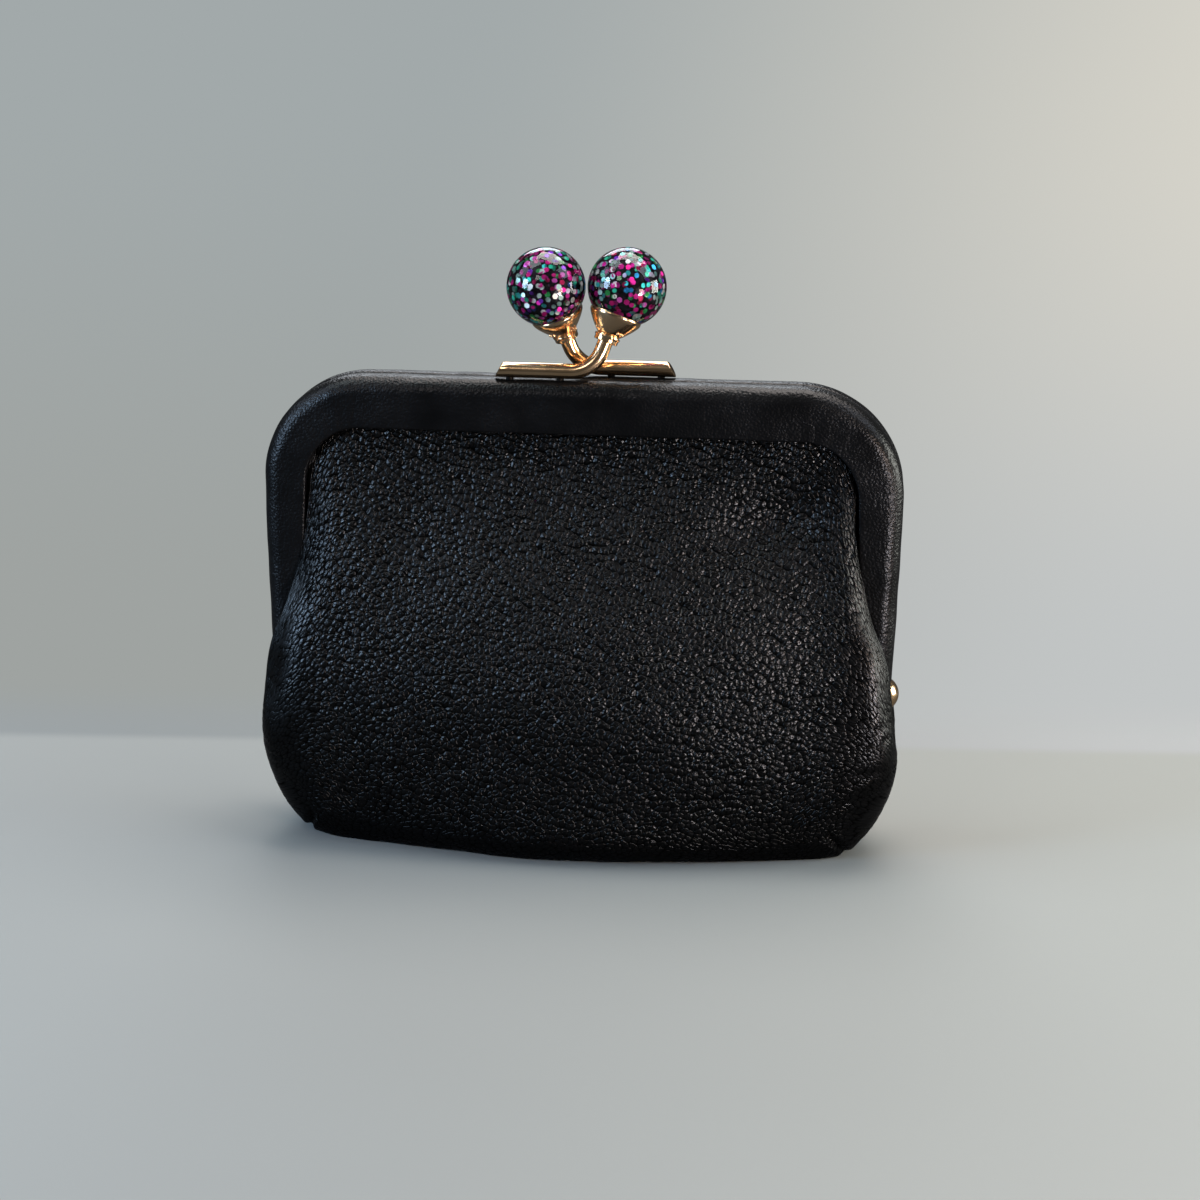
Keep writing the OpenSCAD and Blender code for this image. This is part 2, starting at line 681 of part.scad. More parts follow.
// Outward unit vectors of the grid, from the steps along it and across it
panel_normals = [
    for (i = [0 : column_count - 1]) [
        for (j = [0 : row_count - 1])
            let (
                along = panel_grid[min(i + 1, column_count - 1)][j] - panel_grid[max(i - 1, 0)][j],
                down = panel_grid[i][min(j + 1, row_count - 1)] - panel_grid[i][max(j - 1, 0)],
                v = cross(along, down)
            )
            v / norm(v)
    ]
];
// A face of a sheet at a depth under the outer face, clear of the seam plane and flat on the ground
function sheet_face(depth) = [
    for (i = [0 : column_count - 1], j = [0 : row_count - 1])
        let (v = panel_grid[i][j] - panel_normals[i][j] * depth)
        j == 0 ? [v.x, -panel_q + depth, v.z] : [v.x, min(v.y, -seam_gap), max(v.z, depth)]
];
module sheet(depth, thickness) {
    count = column_count * row_count;
    points = concat(sheet_face(depth), sheet_face(depth + thickness));
    top_edge = [for (i = [0 : column_count - 2]) let (a = i * row_count, b = a + row_count)
        each [[a, b, b + count], [a, b + count, a + count]]];
    seam_edge = [for (i = [0 : column_count - 2]) let (a = (i + 1) * row_count - 1, b = a + row_count)
        each [[a, b + count, b], [a, a + count, b + count]]];
    first_edge = [for (j = [0 : row_count - 2]) let (a = j, b = j + 1)
        each [[a, b + count, b], [a, a + count, b + count]]];
    last = (column_count - 1) * row_count;
    last_edge = [for (j = [0 : row_count - 2]) let (a = last + j, b = a + 1)
        each [[a, b, b + count], [a, b + count, a + count]]];
    polyhedron(
        points = points,
        faces = concat(
            grid_faces(column_count, row_count, 0, false),
            grid_faces(column_count, row_count, count, true),
            top_edge, seam_edge, first_edge, last_edge
        ),
        convexity = 8
    );
}
module panel(rear) {
    color(leather_black)
        half(rear) sheet(0, leather_t);
}
module lining(rear) {
    color(lining_grey)
        half(rear) sheet(leather_t + lining_gap, lining_t);
}

panel(false);  // front_panel
panel(true);  // rear_panel
lining(false);  // front_lining
lining(true);  // rear_lining
frame_cover(false);  // front_frame_cover
frame_cover(true);  // rear_frame_cover
frame_channel(false);  // front_frame_channel
frame_channel(true);  // rear_frame_channel
frame_padding(false);  // front_frame_padding
frame_padding(true);  // rear_frame_padding
paper_cord(false);  // front_paper_cord
paper_cord(true);  // rear_paper_cord
clasp_bar(false);  // front_clasp_bar
clasp_bar(true);  // rear_clasp_bar
bar_posts(false);  // front_bar_posts
bar_posts(true);  // rear_bar_posts
knob_cap(false);  // front_knob_cap
knob_cap(true);  // rear_knob_cap
knob_core(false);  // front_knob_core
knob_core(true);  // rear_knob_core
knob_shell(false);  // front_knob_shell
knob_shell(true);  // rear_knob_shell
mirror([1, 0, 0]) hinge_rivet();  // left_hinge_rivet
hinge_rivet();  // right_hinge_rivet
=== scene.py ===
"""Coin purse with a leather-covered hinged frame and a kiss lock of two glitter balls.

Sizes are in millimetres in this file and become metres when a mesh is made. The origin is on the ground under
the middle of the purse: +X right, -Y out of the front, +Z up.
"""
import logging
import math
from abc import ABC, abstractmethod
from dataclasses import dataclass
from enum import Enum
from typing import Any, Sequence

import bmesh
import bpy
import numpy as np
from mathutils import Matrix, Vector


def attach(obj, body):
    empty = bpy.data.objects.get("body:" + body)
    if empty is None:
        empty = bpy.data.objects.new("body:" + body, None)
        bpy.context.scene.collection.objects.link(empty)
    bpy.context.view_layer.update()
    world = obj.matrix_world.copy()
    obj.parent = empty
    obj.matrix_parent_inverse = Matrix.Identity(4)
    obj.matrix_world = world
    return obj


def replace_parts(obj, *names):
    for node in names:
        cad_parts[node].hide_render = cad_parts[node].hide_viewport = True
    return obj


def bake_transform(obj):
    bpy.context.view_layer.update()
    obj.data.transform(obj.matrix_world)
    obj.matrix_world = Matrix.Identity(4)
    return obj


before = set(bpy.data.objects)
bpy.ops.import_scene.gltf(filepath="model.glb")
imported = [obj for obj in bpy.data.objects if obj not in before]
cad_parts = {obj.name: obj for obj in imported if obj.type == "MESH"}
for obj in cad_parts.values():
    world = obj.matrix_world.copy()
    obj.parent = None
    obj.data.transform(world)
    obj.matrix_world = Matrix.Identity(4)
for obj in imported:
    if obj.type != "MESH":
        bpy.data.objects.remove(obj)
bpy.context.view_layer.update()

MM = 0.001
Socket = bpy.types.NodeSocket
logging.basicConfig(level=logging.INFO, format="%(message)s")
log = logging.getLogger("purse")


class Half(Enum):
    """The two halves of the frame; the value is the side of the plane y = 0 that a half lies on."""

    FRONT = -1
    REAR = 1

    @property
    def prefix(self) -> str:
        """Returns the first word of the names of this half's pieces."""
        return self.name.lower()

    @property
    def body(self) -> str:
        """Returns the moving body that this half of the frame is."""
        return f"{self.prefix}_frame"


# Numbers and curves


def smoothstep(t: np.ndarray | float) -> np.ndarray:
    """Returns 3t² - 2t³ of t held between 0 and 1."""
    c = np.clip(t, 0.0, 1.0)
    return c * c * (3.0 - 2.0 * c)


def mix(a: Any, b: Any, t: Any) -> Any:
    """Returns a + (b - a) t."""
    return a + (b - a) * t


def soft_noise(points: np.ndarray, shortest: float, longest: float, seed: int, waves: int = 28) -> np.ndarray:
    """Smooth noise of about unit size: the sum of cosines of random directions, lengths and phases.

    Args:
        points: places, in millimetres, in the last axis.
        shortest: shortest wavelength.
        longest: longest wavelength.
        seed: seed of the random waves.
        waves: how many cosines are summed.

    Returns:
        One value for each place.
    """
    rng = np.random.default_rng(seed)
    direction = rng.normal(size=(waves, 3))
    direction /= np.linalg.norm(direction, axis=1, keepdims=True)
    length = shortest * (longest / shortest) ** rng.random(waves)
    phase = rng.random(waves) * 2 * np.pi
    angle = points @ (direction * (2 * np.pi / length)[:, None]).T + phase
    return np.cos(angle) @ np.full(waves, math.sqrt(2.0 / waves))


def through_knots(knots: np.ndarray, t: np.ndarray) -> np.ndarray:
    """A smooth curve through evenly timed knots.

    Each stretch is the cubic whose slope at a knot is half the difference of the knot's neighbours.

    Args:
        knots: (columns, knots, 3).
        t: times from 0 to 1.

    Returns:
        (columns, times, 3).
    """
    n = knots.shape[1] - 1
    i = np.minimum((t * n).astype(int), n - 1)
    u = (t * n - i)[None, :, None]
    a, b = knots[:, np.maximum(i - 1, 0)], knots[:, i]
    c, d = knots[:, i + 1], knots[:, np.minimum(i + 2, n)]
    return 0.5 * (2 * b + (c - a) * u + (2 * a - 5 * b + 4 * c - d) * u**2 + (3 * b - a - 3 * c + d) * u**3)


def blurred(values: np.ndarray, sigma: float, axis: int) -> np.ndarray:
    """Averages the values of a grid along an axis with a bell; the edges are repeated.

    Args:
        values: the grid.
        sigma: width of the bell, in steps of the grid.
        axis: the axis.

    Returns:
        The softened grid.
    """
    reach = int(3 * sigma) + 1
    bell = np.exp(-0.5 * (np.arange(-reach, reach + 1) / sigma) ** 2)
    bell /= bell.sum()
    widths = [(0, 0)] * values.ndim
    widths[axis] = (reach, reach)
    padded = np.pad(values, widths, mode="edge")
    out = np.zeros_like(values)
    for k, share in enumerate(bell):
        window = [slice(None)] * values.ndim
        window[axis] = slice(k, k + values.shape[axis])
        out += share * padded[tuple(window)]
    return out


# Meshes


def grid_quads(rows: int, cols: int, start: int = 0, wrap_cols: bool = False) -> np.ndarray:
    """Joins a grid of points that are stored row by row.

    Args:
        rows: number of rows.
        cols: number of points in a row.
        start: number of the first point.
        wrap_cols: whether the last point of a row joins the first.

    Returns:
        Rows of four point numbers.
    """
    i = np.arange(rows - 1)[:, None]
    j = np.arange(cols if wrap_cols else cols - 1)[None, :]
    k = (j + 1) % cols
    a, b = i * cols + j, i * cols + k
    c, d = (i + 1) * cols + k, (i + 1) * cols + j
    return start + np.stack([a, b, c, d], -1).reshape(-1, 4)


def make_piece(name: str, points: np.ndarray, faces: Sequence, material: bpy.types.Material,
               body: str | None, sharp: float = 50.0) -> bpy.types.Object:
    """Makes a mesh piece, turns its faces outwards, dresses it and lets it ride on a body.

    Args:
        name: name of the piece.
        points: places in millimetres.
        faces: rows of point numbers.
        material: its material.
        body: body it rides on, or None to leave it on no body.
        sharp: angle in degrees above which an edge stays crisp.

    Returns:
        The new object.
    """
    mesh = bpy.data.meshes.new(name)
    mesh.from_pydata((points.reshape(-1, 3) * MM).tolist(), [], [list(map(int, f)) for f in faces])
    b = bmesh.new()
    b.from_mesh(mesh)
    bmesh.ops.remove_doubles(b, verts=b.verts, dist=1e-7)
    bmesh.ops.recalc_face_normals(b, faces=b.faces)
    b.to_mesh(mesh)
    b.free()
    mesh.polygons.foreach_set("use_smooth", np.ones(len(mesh.polygons), bool))
    mesh.set_sharp_from_angle(angle=math.radians(sharp))
    mesh.materials.append(material)
    piece = bpy.data.objects.new(name, mesh)
    bpy.context.scene.collection.objects.link(piece)
    if body is not None:
        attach(piece, body)
    log.info("%-24s %7d faces", name, len(mesh.polygons))
    return piece


def lathe(profile: np.ndarray, origin: np.ndarray, axis: np.ndarray,
          around: int = 64) -> tuple[np.ndarray, list]:
    """Turns a profile about an axis. Both ends of the profile lie on the axis.

    A point is origin + h axis + r (cos a e1 + sin a e2), for each (r, h) of the profile and each angle a.

    Args:
        profile: (n, 2) distances from the axis and along it.
        origin: a point of the axis.
        axis: unit vector.
        around: number of steps round the axis.

    Returns:
        The points and the faces.
    """
    e1 = np.cross(axis, [0.0, 1.0, 0.0] if abs(axis[1]) < 0.9 else [1.0, 0.0, 0.0])
    e1 /= np.linalg.norm(e1)
    e2 = np.cross(axis, e1)
    a = np.linspace(0, 2 * np.pi, around, endpoint=False)
    ring = np.cos(a)[:, None] * e1 + np.sin(a)[:, None] * e2
    inner = profile[1:-1]
    rings = origin + inner[:, 1, None, None] * axis + inner[:, 0, None, None] * ring
    first, last = origin + profile[0, 1] * axis, origin + profile[-1, 1] * axis
    points = np.concatenate([rings.reshape(-1, 3), [first, last]])
    n, m = len(points) - 2, len(inner)
    faces = grid_quads(m, around, wrap_cols=True).tolist()
    j = np.arange(around)
    k = (j + 1) % around
    faces += np.stack([k, j, np.full(around, n)], -1).tolist()
    faces += np.stack([(m - 1) * around + j, (m - 1) * around + k, np.full(around, n + 1)], -1).tolist()
    return points, faces


def rounded_profile(corners: Sequence[tuple[float, float, float]], steps: int = 5) -> np.ndarray:
    """A profile through corners, each rounded by a quadratic curve.

    The curve leaves and meets the sides at the corner's reach, or before the middle of a shorter side.

    Args:
        corners: (r, h, reach) of each corner; reach 0 keeps it sharp.
        steps: steps of each rounding.

    Returns:
        (n, 2) points.
    """
    c = np.array(corners, float)
    out = [c[0, :2]]
    u = np.linspace(0, 1, steps)[:, None]
    most = 0.49
    for before, here, after in zip(c[:-2], c[1:-1], c[2:]):
        if here[2] == 0:
            out.append(here[:2])
            continue
        to_a, to_b = before[:2] - here[:2], after[:2] - here[:2]
        a = here[:2] + to_a * min(most, here[2] / np.linalg.norm(to_a))
        b = here[:2] + to_b * min(most, here[2] / np.linalg.norm(to_b))
        out.extend((1 - u) ** 2 * a + 2 * u * (1 - u) * here[:2] + u**2 * b)
    out.append(c[-1, :2])
    return np.array(out)


# Materials


def hex_colour(code: str) -> tuple[float, float, float, float]:
    """Returns the linear colour of an sRGB hex value such as "c0ffee", with alpha 1."""
    s = np.array([int(code[i:i + 2], 16) / 255 for i in (0, 2, 4)])
    linear = np.where(s <= 0.04045, s / 12.92, ((s + 0.055) / 1.055) ** 2.4)
    return (*linear.tolist(), 1.0)


@dataclass(frozen=True)
class Graph:
    """The node tree of a material or of the room, with a short method for each kind of node that comes back.

    A value is a number, a vector, a colour as a hex value, or the output socket of another node.
    """

    tree: bpy.types.NodeTree

    def fill(self, node: bpy.types.Node, inputs: dict[str | int, Any]) -> None:
        """Sets inputs of a node to values, or links them to output sockets.

        Args:
            node: the node.
            inputs: values by the input's name or number.
        """
        for key, value in inputs.items():
            if isinstance(value, bpy.types.NodeSocket):
                self.tree.links.new(value, node.inputs[key])
            else:
                node.inputs[key].default_value = hex_colour(value) if isinstance(value, str) else value

    def add(self, kind: str, inputs: dict[str | int, Any], out: str | int = 0, **settings: Any) -> Socket:
        """Adds a node.

        Args:
            kind: type of the node, without its leading "ShaderNode".
            inputs: values by the input's name or number.
            out: name or number of the wanted output.
            settings: properties of the node.

        Returns:
            The wanted output socket.
        """
        node = self.tree.nodes.new(f"ShaderNode{kind}")
        for key, value in settings.items():
            setattr(node, key, value)
        self.fill(node, inputs)
        return node.outputs[out]

    def place(self) -> Socket:
        """Returns the place on the piece, in metres."""
        return self.add("TexCoord", {}, "Object")

    def math(self, operation: str, *values: Any) -> Socket:
        """Returns the result of an operation on one to three numbers."""
        return self.add("Math", dict(enumerate(values)), operation=operation)

    def remap(self, value: Socket, before: tuple[float, float], after: tuple[float, float] = (0.0, 1.0),
              curve: str = "LINEAR") -> Socket:
        """Carries one range of a value onto another, held at both ends.

        Args:
            value: the value.
            before: the range that is read.
            after: the range that it becomes.
            curve: kind of the curve between the ends.

        Returns:
            The new value.
        """
        ends = {"From Min": before[0], "From Max": before[1], "To Min": after[0], "To Max": after[1]}
        return self.add("MapRange", {"Value": value, **ends}, interpolation_type=curve)

    def noise(self, place: Socket, scale: float, detail: float = 2.0, out: str = "Fac",
              dimensions: str = "3D") -> Socket:
        """Adds a cloudy noise.

        Args:
            place: where it is read.
            scale: its waves on each unit of the place.
            detail: how many finer layers it has.
            out: "Fac" for one value, "Color" for three.
            dimensions: "2D" reads only the first two numbers of the place.

        Returns:
            The noise, from 0 to 1.
        """
        return self.add("TexNoise", {"Vector": place, "Scale": scale, "Detail": detail}, out,
                        noise_dimensions=dimensions)

    def shifted(self, place: Socket, noise: Socket, size: float) -> Socket:
        """Returns place + size (noise - 1/2), with a noise of three values."""
        centred = self.add("VectorMath", {0: noise, 1: (0.5, 0.5, 0.5)}, operation="SUBTRACT")
        shift = self.add("VectorMath", {0: centred, "Scale": size}, operation="SCALE")
        return self.add("VectorMath", {0: place, 1: shift}, operation="ADD")

    def blended(self, share: Any, first: Any, second: Any, how: str = "MIX") -> Socket:
        """Mixes two colours.

        Args:
            share: share of the second colour.
            first: the first colour.
            second: the second colour.
            how: kind of the mix.

        Returns:
            The colour.
        """
        return self.add("Mix", {"Factor": share, 6: first, 7: second}, 2, data_type="RGBA", blend_type=how)

    def bump(self, height: Socket, relief: float, strength: Any = 1.0) -> Socket:
        """Returns a surface normal bent by a height; the relief is in millimetres."""
        return self.add("Bump", {"Strength": strength, "Distance": relief * MM, "Height": height})

    def seen(self) -> Socket:
        """Returns 1 where the camera looks, straight or through the resin, and 0 for all other light."""
        rays = self.add("LightPath", {}).node.outputs
        return self.math("MAXIMUM", rays["Is Camera Ray"], rays["Is Transmission Ray"])


@dataclass(frozen=True)
class Material(ABC):
    """A finish made by nodes. Each kind of finish adds its own numbers and sockets of the main shader."""

    name: str

    @abstractmethod
    def sockets(self, graph: Graph) -> dict[str, Any]:
        """Returns what the sockets of the main shader are set or linked to."""

    def build(self) -> bpy.types.Material:
        """Returns a new material whose main shader has this finish's sockets."""
        material = bpy.data.materials.new(self.name)
        material.use_nodes = True
        graph = Graph(material.node_tree)
        graph.fill(material.node_tree.nodes["Principled BSDF"], self.sockets(graph))
        return material


@dataclass(frozen=True)
class PebbledLeather(Material):
    """Drum-milled cowhide, dyed black and lightly waxed: smooth low pebbles between narrow creases.

    Attributes:
        pebble: size of a pebble, in millimetres.
        fine: size of the beads on it.
        lay: direction that the pebbles are drawn out in, in degrees.
        drawn: how much they are drawn out.
        relief: millimetres for a height of 1.
        crease_width: width of a crease, as a share of a pebble.
        flat_cut: share of the relief that goes where the skin is drawn flat.
        wax: shine in the creases and on the tops.
    """

    name: str = "milled_black_leather"
    colour: str = "020202"
    # Colour of the deep creases, a painted shade.
    crease: str = "000000"
    pebble: float = 1.12
    fine: float = 0.52
    lay: float = 58.0
    drawn: float = 1.06
    roughness: float = 0.26
    relief: float = 0.2
    crease_width: float = 0.13
    crease_depth: float = 0.4
    dome_height: float = 1.9
    bead_height: float = 0.45
    pore_height: float = 0.12
    flat_cut: float = 0.68
    wax: tuple[float, float] = (0.02, 0.28)

    def sockets(self, graph: Graph) -> dict[str, Any]:
        """The pattern lies on the hide: its place attribute is in millimetres along the skin.

        Height is a flat-topped cell of real pebble size with a narrow crease round it, times a slow noise
        that deepens and fades it, plus smaller cells and pores on top. The relief shrinks with the place's
        third number, which says how flat the skin is drawn. The shine is wax on the tops of the pebbles; the
        creases between them stay matt.

        Args:
            graph: the material's nodes.

        Returns:
            The sockets.
        """
        place = graph.add("Attribute", {}, "Vector", attribute_name="hide")
        bent = graph.shifted(place, graph.noise(place, 0.42, 1.5, "Color", "2D"), 0.75)
        warped = graph.add("Mapping", {"Vector": bent, "Scale": (self.drawn, 1 / self.drawn, 1.0),
                                       "Rotation": (0.0, 0.0, math.radians(self.lay))}, vector_type="TEXTURE")
        large = {"Vector": warped, "Scale": 1 / self.pebble}
        edge = graph.add("TexVoronoi", large, "Distance", voronoi_dimensions="2D", feature="DISTANCE_TO_EDGE")
        centre = graph.add("TexVoronoi", {**large, "Smoothness": 0.12}, "Distance",
                           voronoi_dimensions="2D", feature="SMOOTH_F1")
        small = graph.add("TexVoronoi", {"Vector": place, "Scale": 1 / self.fine, "Smoothness": 0.1},
                          "Distance", voronoi_dimensions="2D", feature="SMOOTH_F1")
        pores = graph.noise(warped, 2.4, 1.0, "Fac", "2D")
        patch = graph.noise(place, 0.21, 2.0, "Fac", "2D")
        valley = graph.remap(edge, (0.0, self.crease_width), (-self.crease_depth, 0.0), "SMOOTHSTEP")
        dome = graph.math("MULTIPLY", centre, centre)
        beads = graph.math("MULTIPLY", graph.math("MULTIPLY", small, small), -self.bead_height)
        cell = graph.math("MULTIPLY_ADD", dome, -self.dome_height, valley)
        strength = graph.remap(patch, (0.36, 0.62), (0.72, 1.0))
        pebbles = graph.math("MULTIPLY_ADD", cell, strength, beads)
        height = graph.math("MULTIPLY_ADD", pores, self.pore_height, pebbles)
        flat_share = graph.add("SeparateXYZ", {"Vector": place}, "Z")
        low = graph.math("MULTIPLY_ADD", flat_share, -self.flat_cut, 1.0)
        tops = graph.math("MULTIPLY_ADD", dome, -0.45, valley)
        # The creases are painted darker than the tops, a painted shade: the colour runs to the crease colour
        # where the valley is deep.
        depth = graph.math("MULTIPLY_ADD", valley, 2.2, 1.0)
        return {
            "IOR": 1.5,
            "Specular IOR Level": graph.remap(tops, (-0.55, -0.05), self.wax),
            "Base Color": graph.blended(depth, self.crease, self.colour),
            "Roughness": graph.remap(patch, (0.3, 0.7), (self.roughness + 0.05, self.roughness - 0.03)),
            "Normal": graph.bump(height, self.relief, low),
        }


@dataclass(frozen=True)
class SmoothLeather(Material):
    """Thin black calf pasted over the frame: a fine print of short grain with a satin, almost dull face."""

    name: str = "pasted_calf_leather"
    colour: str = "030303"
    worn: str = "0b0b0c"
    grain: float = 0.5
    roughness: float = 0.33
    relief: float = 0.11

    def sockets(self, graph: Graph) -> dict[str, Any]:
        """Height is a small soft cell pattern, shifted and broken up by noise.

        Args:
            graph: the material's nodes.

        Returns:
            The sockets.
        """
        place = graph.place()
        warped = graph.shifted(place, graph.noise(place, 1 / (1.6 * MM), 2.0, "Color"), 1.2 * self.grain * MM)
        cells = graph.add("TexVoronoi", {"Vector": warped, "Scale": 1 / (self.grain * MM), "Smoothness": 0.4},
                          "Distance", feature="SMOOTH_F1")
        patch = graph.noise(place, 1 / (9 * MM))
        height = graph.math("MULTIPLY", cells, graph.remap(patch, (0.35, 0.65), (-0.55, -1.0)))
        return {
            "Specular IOR Level": 0.2,
            "IOR": 1.5,
            "Base Color": graph.blended(patch, self.colour, self.worn),
            "Roughness": graph.remap(patch, (0.3, 0.7), (self.roughness - 0.04, self.roughness + 0.06)),
            "Normal": graph.bump(height, self.relief),
        }


@dataclass(frozen=True)
class WovenCloth(Material):
    """Plain-woven cotton twill: two sets of threads that go over and under, with no shine."""

    name: str = "black_cotton_lining"
    colour: str = "1d1d21"
    shade: str = "0f0f12"
    thread: float = 0.4
    relief: float = 0.08

    def sockets(self, graph: Graph) -> dict[str, Any]:
        """Height is the larger of two sets of waves, one across and one up, at the thread's spacing.

        Args:
            graph: the material's nodes.

        Returns:
            The sockets.
        """
        wave = {"Vector": graph.place(), "Scale": 0.314 / (self.thread * MM), "Distortion": 0.6}
        threads = [graph.add("TexWave", wave, "Fac", bands_direction=axis) for axis in ("X", "Z")]
        height = graph.math("MAXIMUM", *threads)
        return {"Roughness": 0.85, "Sheen Weight": 0.25, "Normal": graph.bump(height, self.relief),
                "Base Color": graph.blended(height, self.shade, self.colour)}


@dataclass(frozen=True)
class PlatedMetal(Material):
    """Steel plated with a light rose gold. Polished it mirrors the room; left satin it blurs it."""

    colour: str
    roughness: float
    scratch: float
    bright: str = "f6d3a8"

    def sockets(self, graph: Graph) -> dict[str, Any]:
        """Roughness and a faint bump follow stretched noise, as handling marks do.

        Args:
            graph: the material's nodes.

        Returns:
            The sockets.
        """
        place = graph.place()
        drawn = graph.add("Mapping", {"Vector": place, "Scale": (0.35, 1.0, 1.0)})
        marks = graph.noise(drawn, 1 / (0.5 * MM), 4.0)
        cloud = graph.noise(place, 1 / (3 * MM))
        dull = graph.remap(cloud, (0.0, 1.0), (self.roughness * 0.6, self.roughness * 1.5))
        return {"Metallic": 1.0, "Roughness": dull, "Normal": graph.bump(marks, self.scratch),
                "Base Color": graph.blended(cloud, self.colour, self.bright)}


@dataclass(frozen=True)
class FibreBoard(Material):
    """Twisted paper cord or felted wadding, hidden in the frame: matt fibres with a soft mottle."""

    colour: str
    fibre: float
    shade: str = "3a342c"
    relief: float = 0.1

    def sockets(self, graph: Graph) -> dict[str, Any]:
        """Returns colour and height that follow noise at the fibre's width."""
        fibres = graph.noise(graph.place(), 1 / (self.fibre * MM), 4.0)
        return {"Roughness": 0.9, "Normal": graph.bump(fibres, self.relief),
                "Base Color": graph.blended(fibres, self.shade, self.colour)}


@dataclass(frozen=True)
class CastResin(Material):
    """Clear polyester cast in a ball mould and polished: glassy, with the faintest violet cast."""

    name: str = "clear_cast_resin"

    def sockets(self, graph: Graph) -> dict[str, Any]:
        """Returns a clear dielectric whose polish varies a little from place to place."""
        cloud = graph.noise(graph.place(), 1 / (3.5 * MM), 1.0)
        return {"Base Color": "fbf8ff", "IOR": 1.4, "Specular IOR Level": 0.35, "Transmission Weight": 1.0,
                "Roughness": graph.remap(cloud, (0.0, 1.0), (0.02, 0.08))}


@dataclass(frozen=True)
class DarkCore(Material):
    """The dyed heart of the ball: almost black, with violet dust in it."""

    name: str = "dark_resin_core"

    def sockets(self, graph: Graph) -> dict[str, Any]:
        """The dust is a fine cell pattern whose brightest cells are tinted.

        Args:
            graph: the material's nodes.

        Returns:
            The sockets.
        """
        dust = graph.add("TexVoronoi", {"Vector": graph.place(), "Scale": 1 / (0.55 * MM)}, "Color")
        ramp = graph.add("ValToRGB", {"Fac": dust})
        for stop, position, colour in zip(ramp.node.color_ramp.elements, (0.45, 0.95), ("040306", "1c0d1e")):
            stop.position = position
            stop.color = hex_colour(colour)
        return {"Roughness": 0.3, "Specular IOR Level": 0.1, "Base Color": ramp}


@dataclass(frozen=True)
class GlitterFoil(Material):
    """Cut polyester foil, aluminised and dyed: each flake is a tiny tinted mirror."""

    name: str = "hexagon_foil_flakes"

    def sockets(self, graph: Graph) -> dict[str, Any]:
        """Returns each flake's own colour, and noise that breaks up its mirror."""
        cloud = graph.noise(graph.place(), 1 / (0.7 * MM))
        return {"Metallic": 0.8, "Specular IOR Level": 0.5,
                "Roughness": graph.remap(cloud, (0.0, 1.0), (0.22, 0.5)),
                "Base Color": graph.add("Attribute", {}, "Color", attribute_name="tint")}


@dataclass(frozen=True)
class TableTop(Material):
    """A wide matt table, and behind the purse the tone of a wall as the camera sees it.

    Behind the purse X / (Y + d) and 1 / (Y + d), where d is how far the camera stands from the purse, run
    evenly across and up the picture. The painted wall glows for the camera alone and gives no light; its glow
    is painted light, brighter and warmer to the right and higher up. The table is painted a little lighter to
    the right, a painted pool of light, and all rays but the camera's see it darker, a painted shade.
    """

    name: str = "pale_table_top"
    distance: float = 464.7
    wall_y: float = 53.0
    painted_y: float = 95.0
    line_slope: float = -0.088
    # Darker tone of the table for every ray but the camera's: a painted shade in its reflections and bounce
    # light.
    bounce_shade: str = "3a3b3b"
    lit_share: float = 0.48

    def sockets(self, graph: Graph) -> dict[str, Any]:
        """Works out the tone under the camera's eye and makes the glow of the painted wall.

        Args:
            graph: the material's nodes.

        Returns:
            The sockets.
        """
        smooth = "SMOOTHSTEP"
        x, y = graph.add("SeparateXYZ", {"Vector": graph.place()}).node.outputs[:2]
        line = graph.math("MULTIPLY_ADD", x, self.line_slope, y)
        behind = graph.remap(line, ((self.wall_y - 2) * MM, (self.wall_y + 4) * MM), curve=smooth)
        painted = graph.remap(line, (self.wall_y * MM, self.painted_y * MM), curve=smooth)
        far = graph.math("DIVIDE", 1.0, graph.math("ADD", y, self.distance * MM))
        side = graph.remap(graph.math("MULTIPLY", x, far), (-0.16, 0.24), curve=smooth)
        high = graph.remap(far, (0.35, 1.7), (1.0, 0.0), smooth)
        # The wall's glow is painted light: its low and high colours grow brighter and warmer to the right and
        # higher up.
        low_wall_painted_light, high_wall_painted_light = graph.blended(side, "9fa3a1", "c3c6c6"), graph.blended(side, "a2a9aa", "d9d6cc")
        wall = graph.blended(high, low_wall_painted_light, high_wall_painted_light)
        lit_wall = graph.blended(1.0, wall, (*[self.lit_share] * 3, 1.0), "MULTIPLY")
        # The table is painted a little lighter to the right, a painted pool of light; behind the wall line
        # its lit tone carries the wall's painted light.
        tone = graph.blended(behind, graph.blended(side, "7f817e", "868884"), lit_wall)
        seen = graph.seen()
        glow = graph.add("Emission", {"Color": wall})
        nodes = graph.tree.nodes
        both = graph.add("MixShader", {0: graph.math("MULTIPLY", seen, painted),
                                       1: nodes["Principled BSDF"].outputs[0], 2: glow})
        graph.fill(nodes["Material Output"], {"Surface": both})
        # Rays other than the camera's see the table in the darker tone, a painted shade of what it reflects
        # and sends on.
        return {"Roughness": 0.8, "Specular IOR Level": 0.1,
                "Base Color": graph.blended(seen, self.bounce_shade, tone)}


# Frame


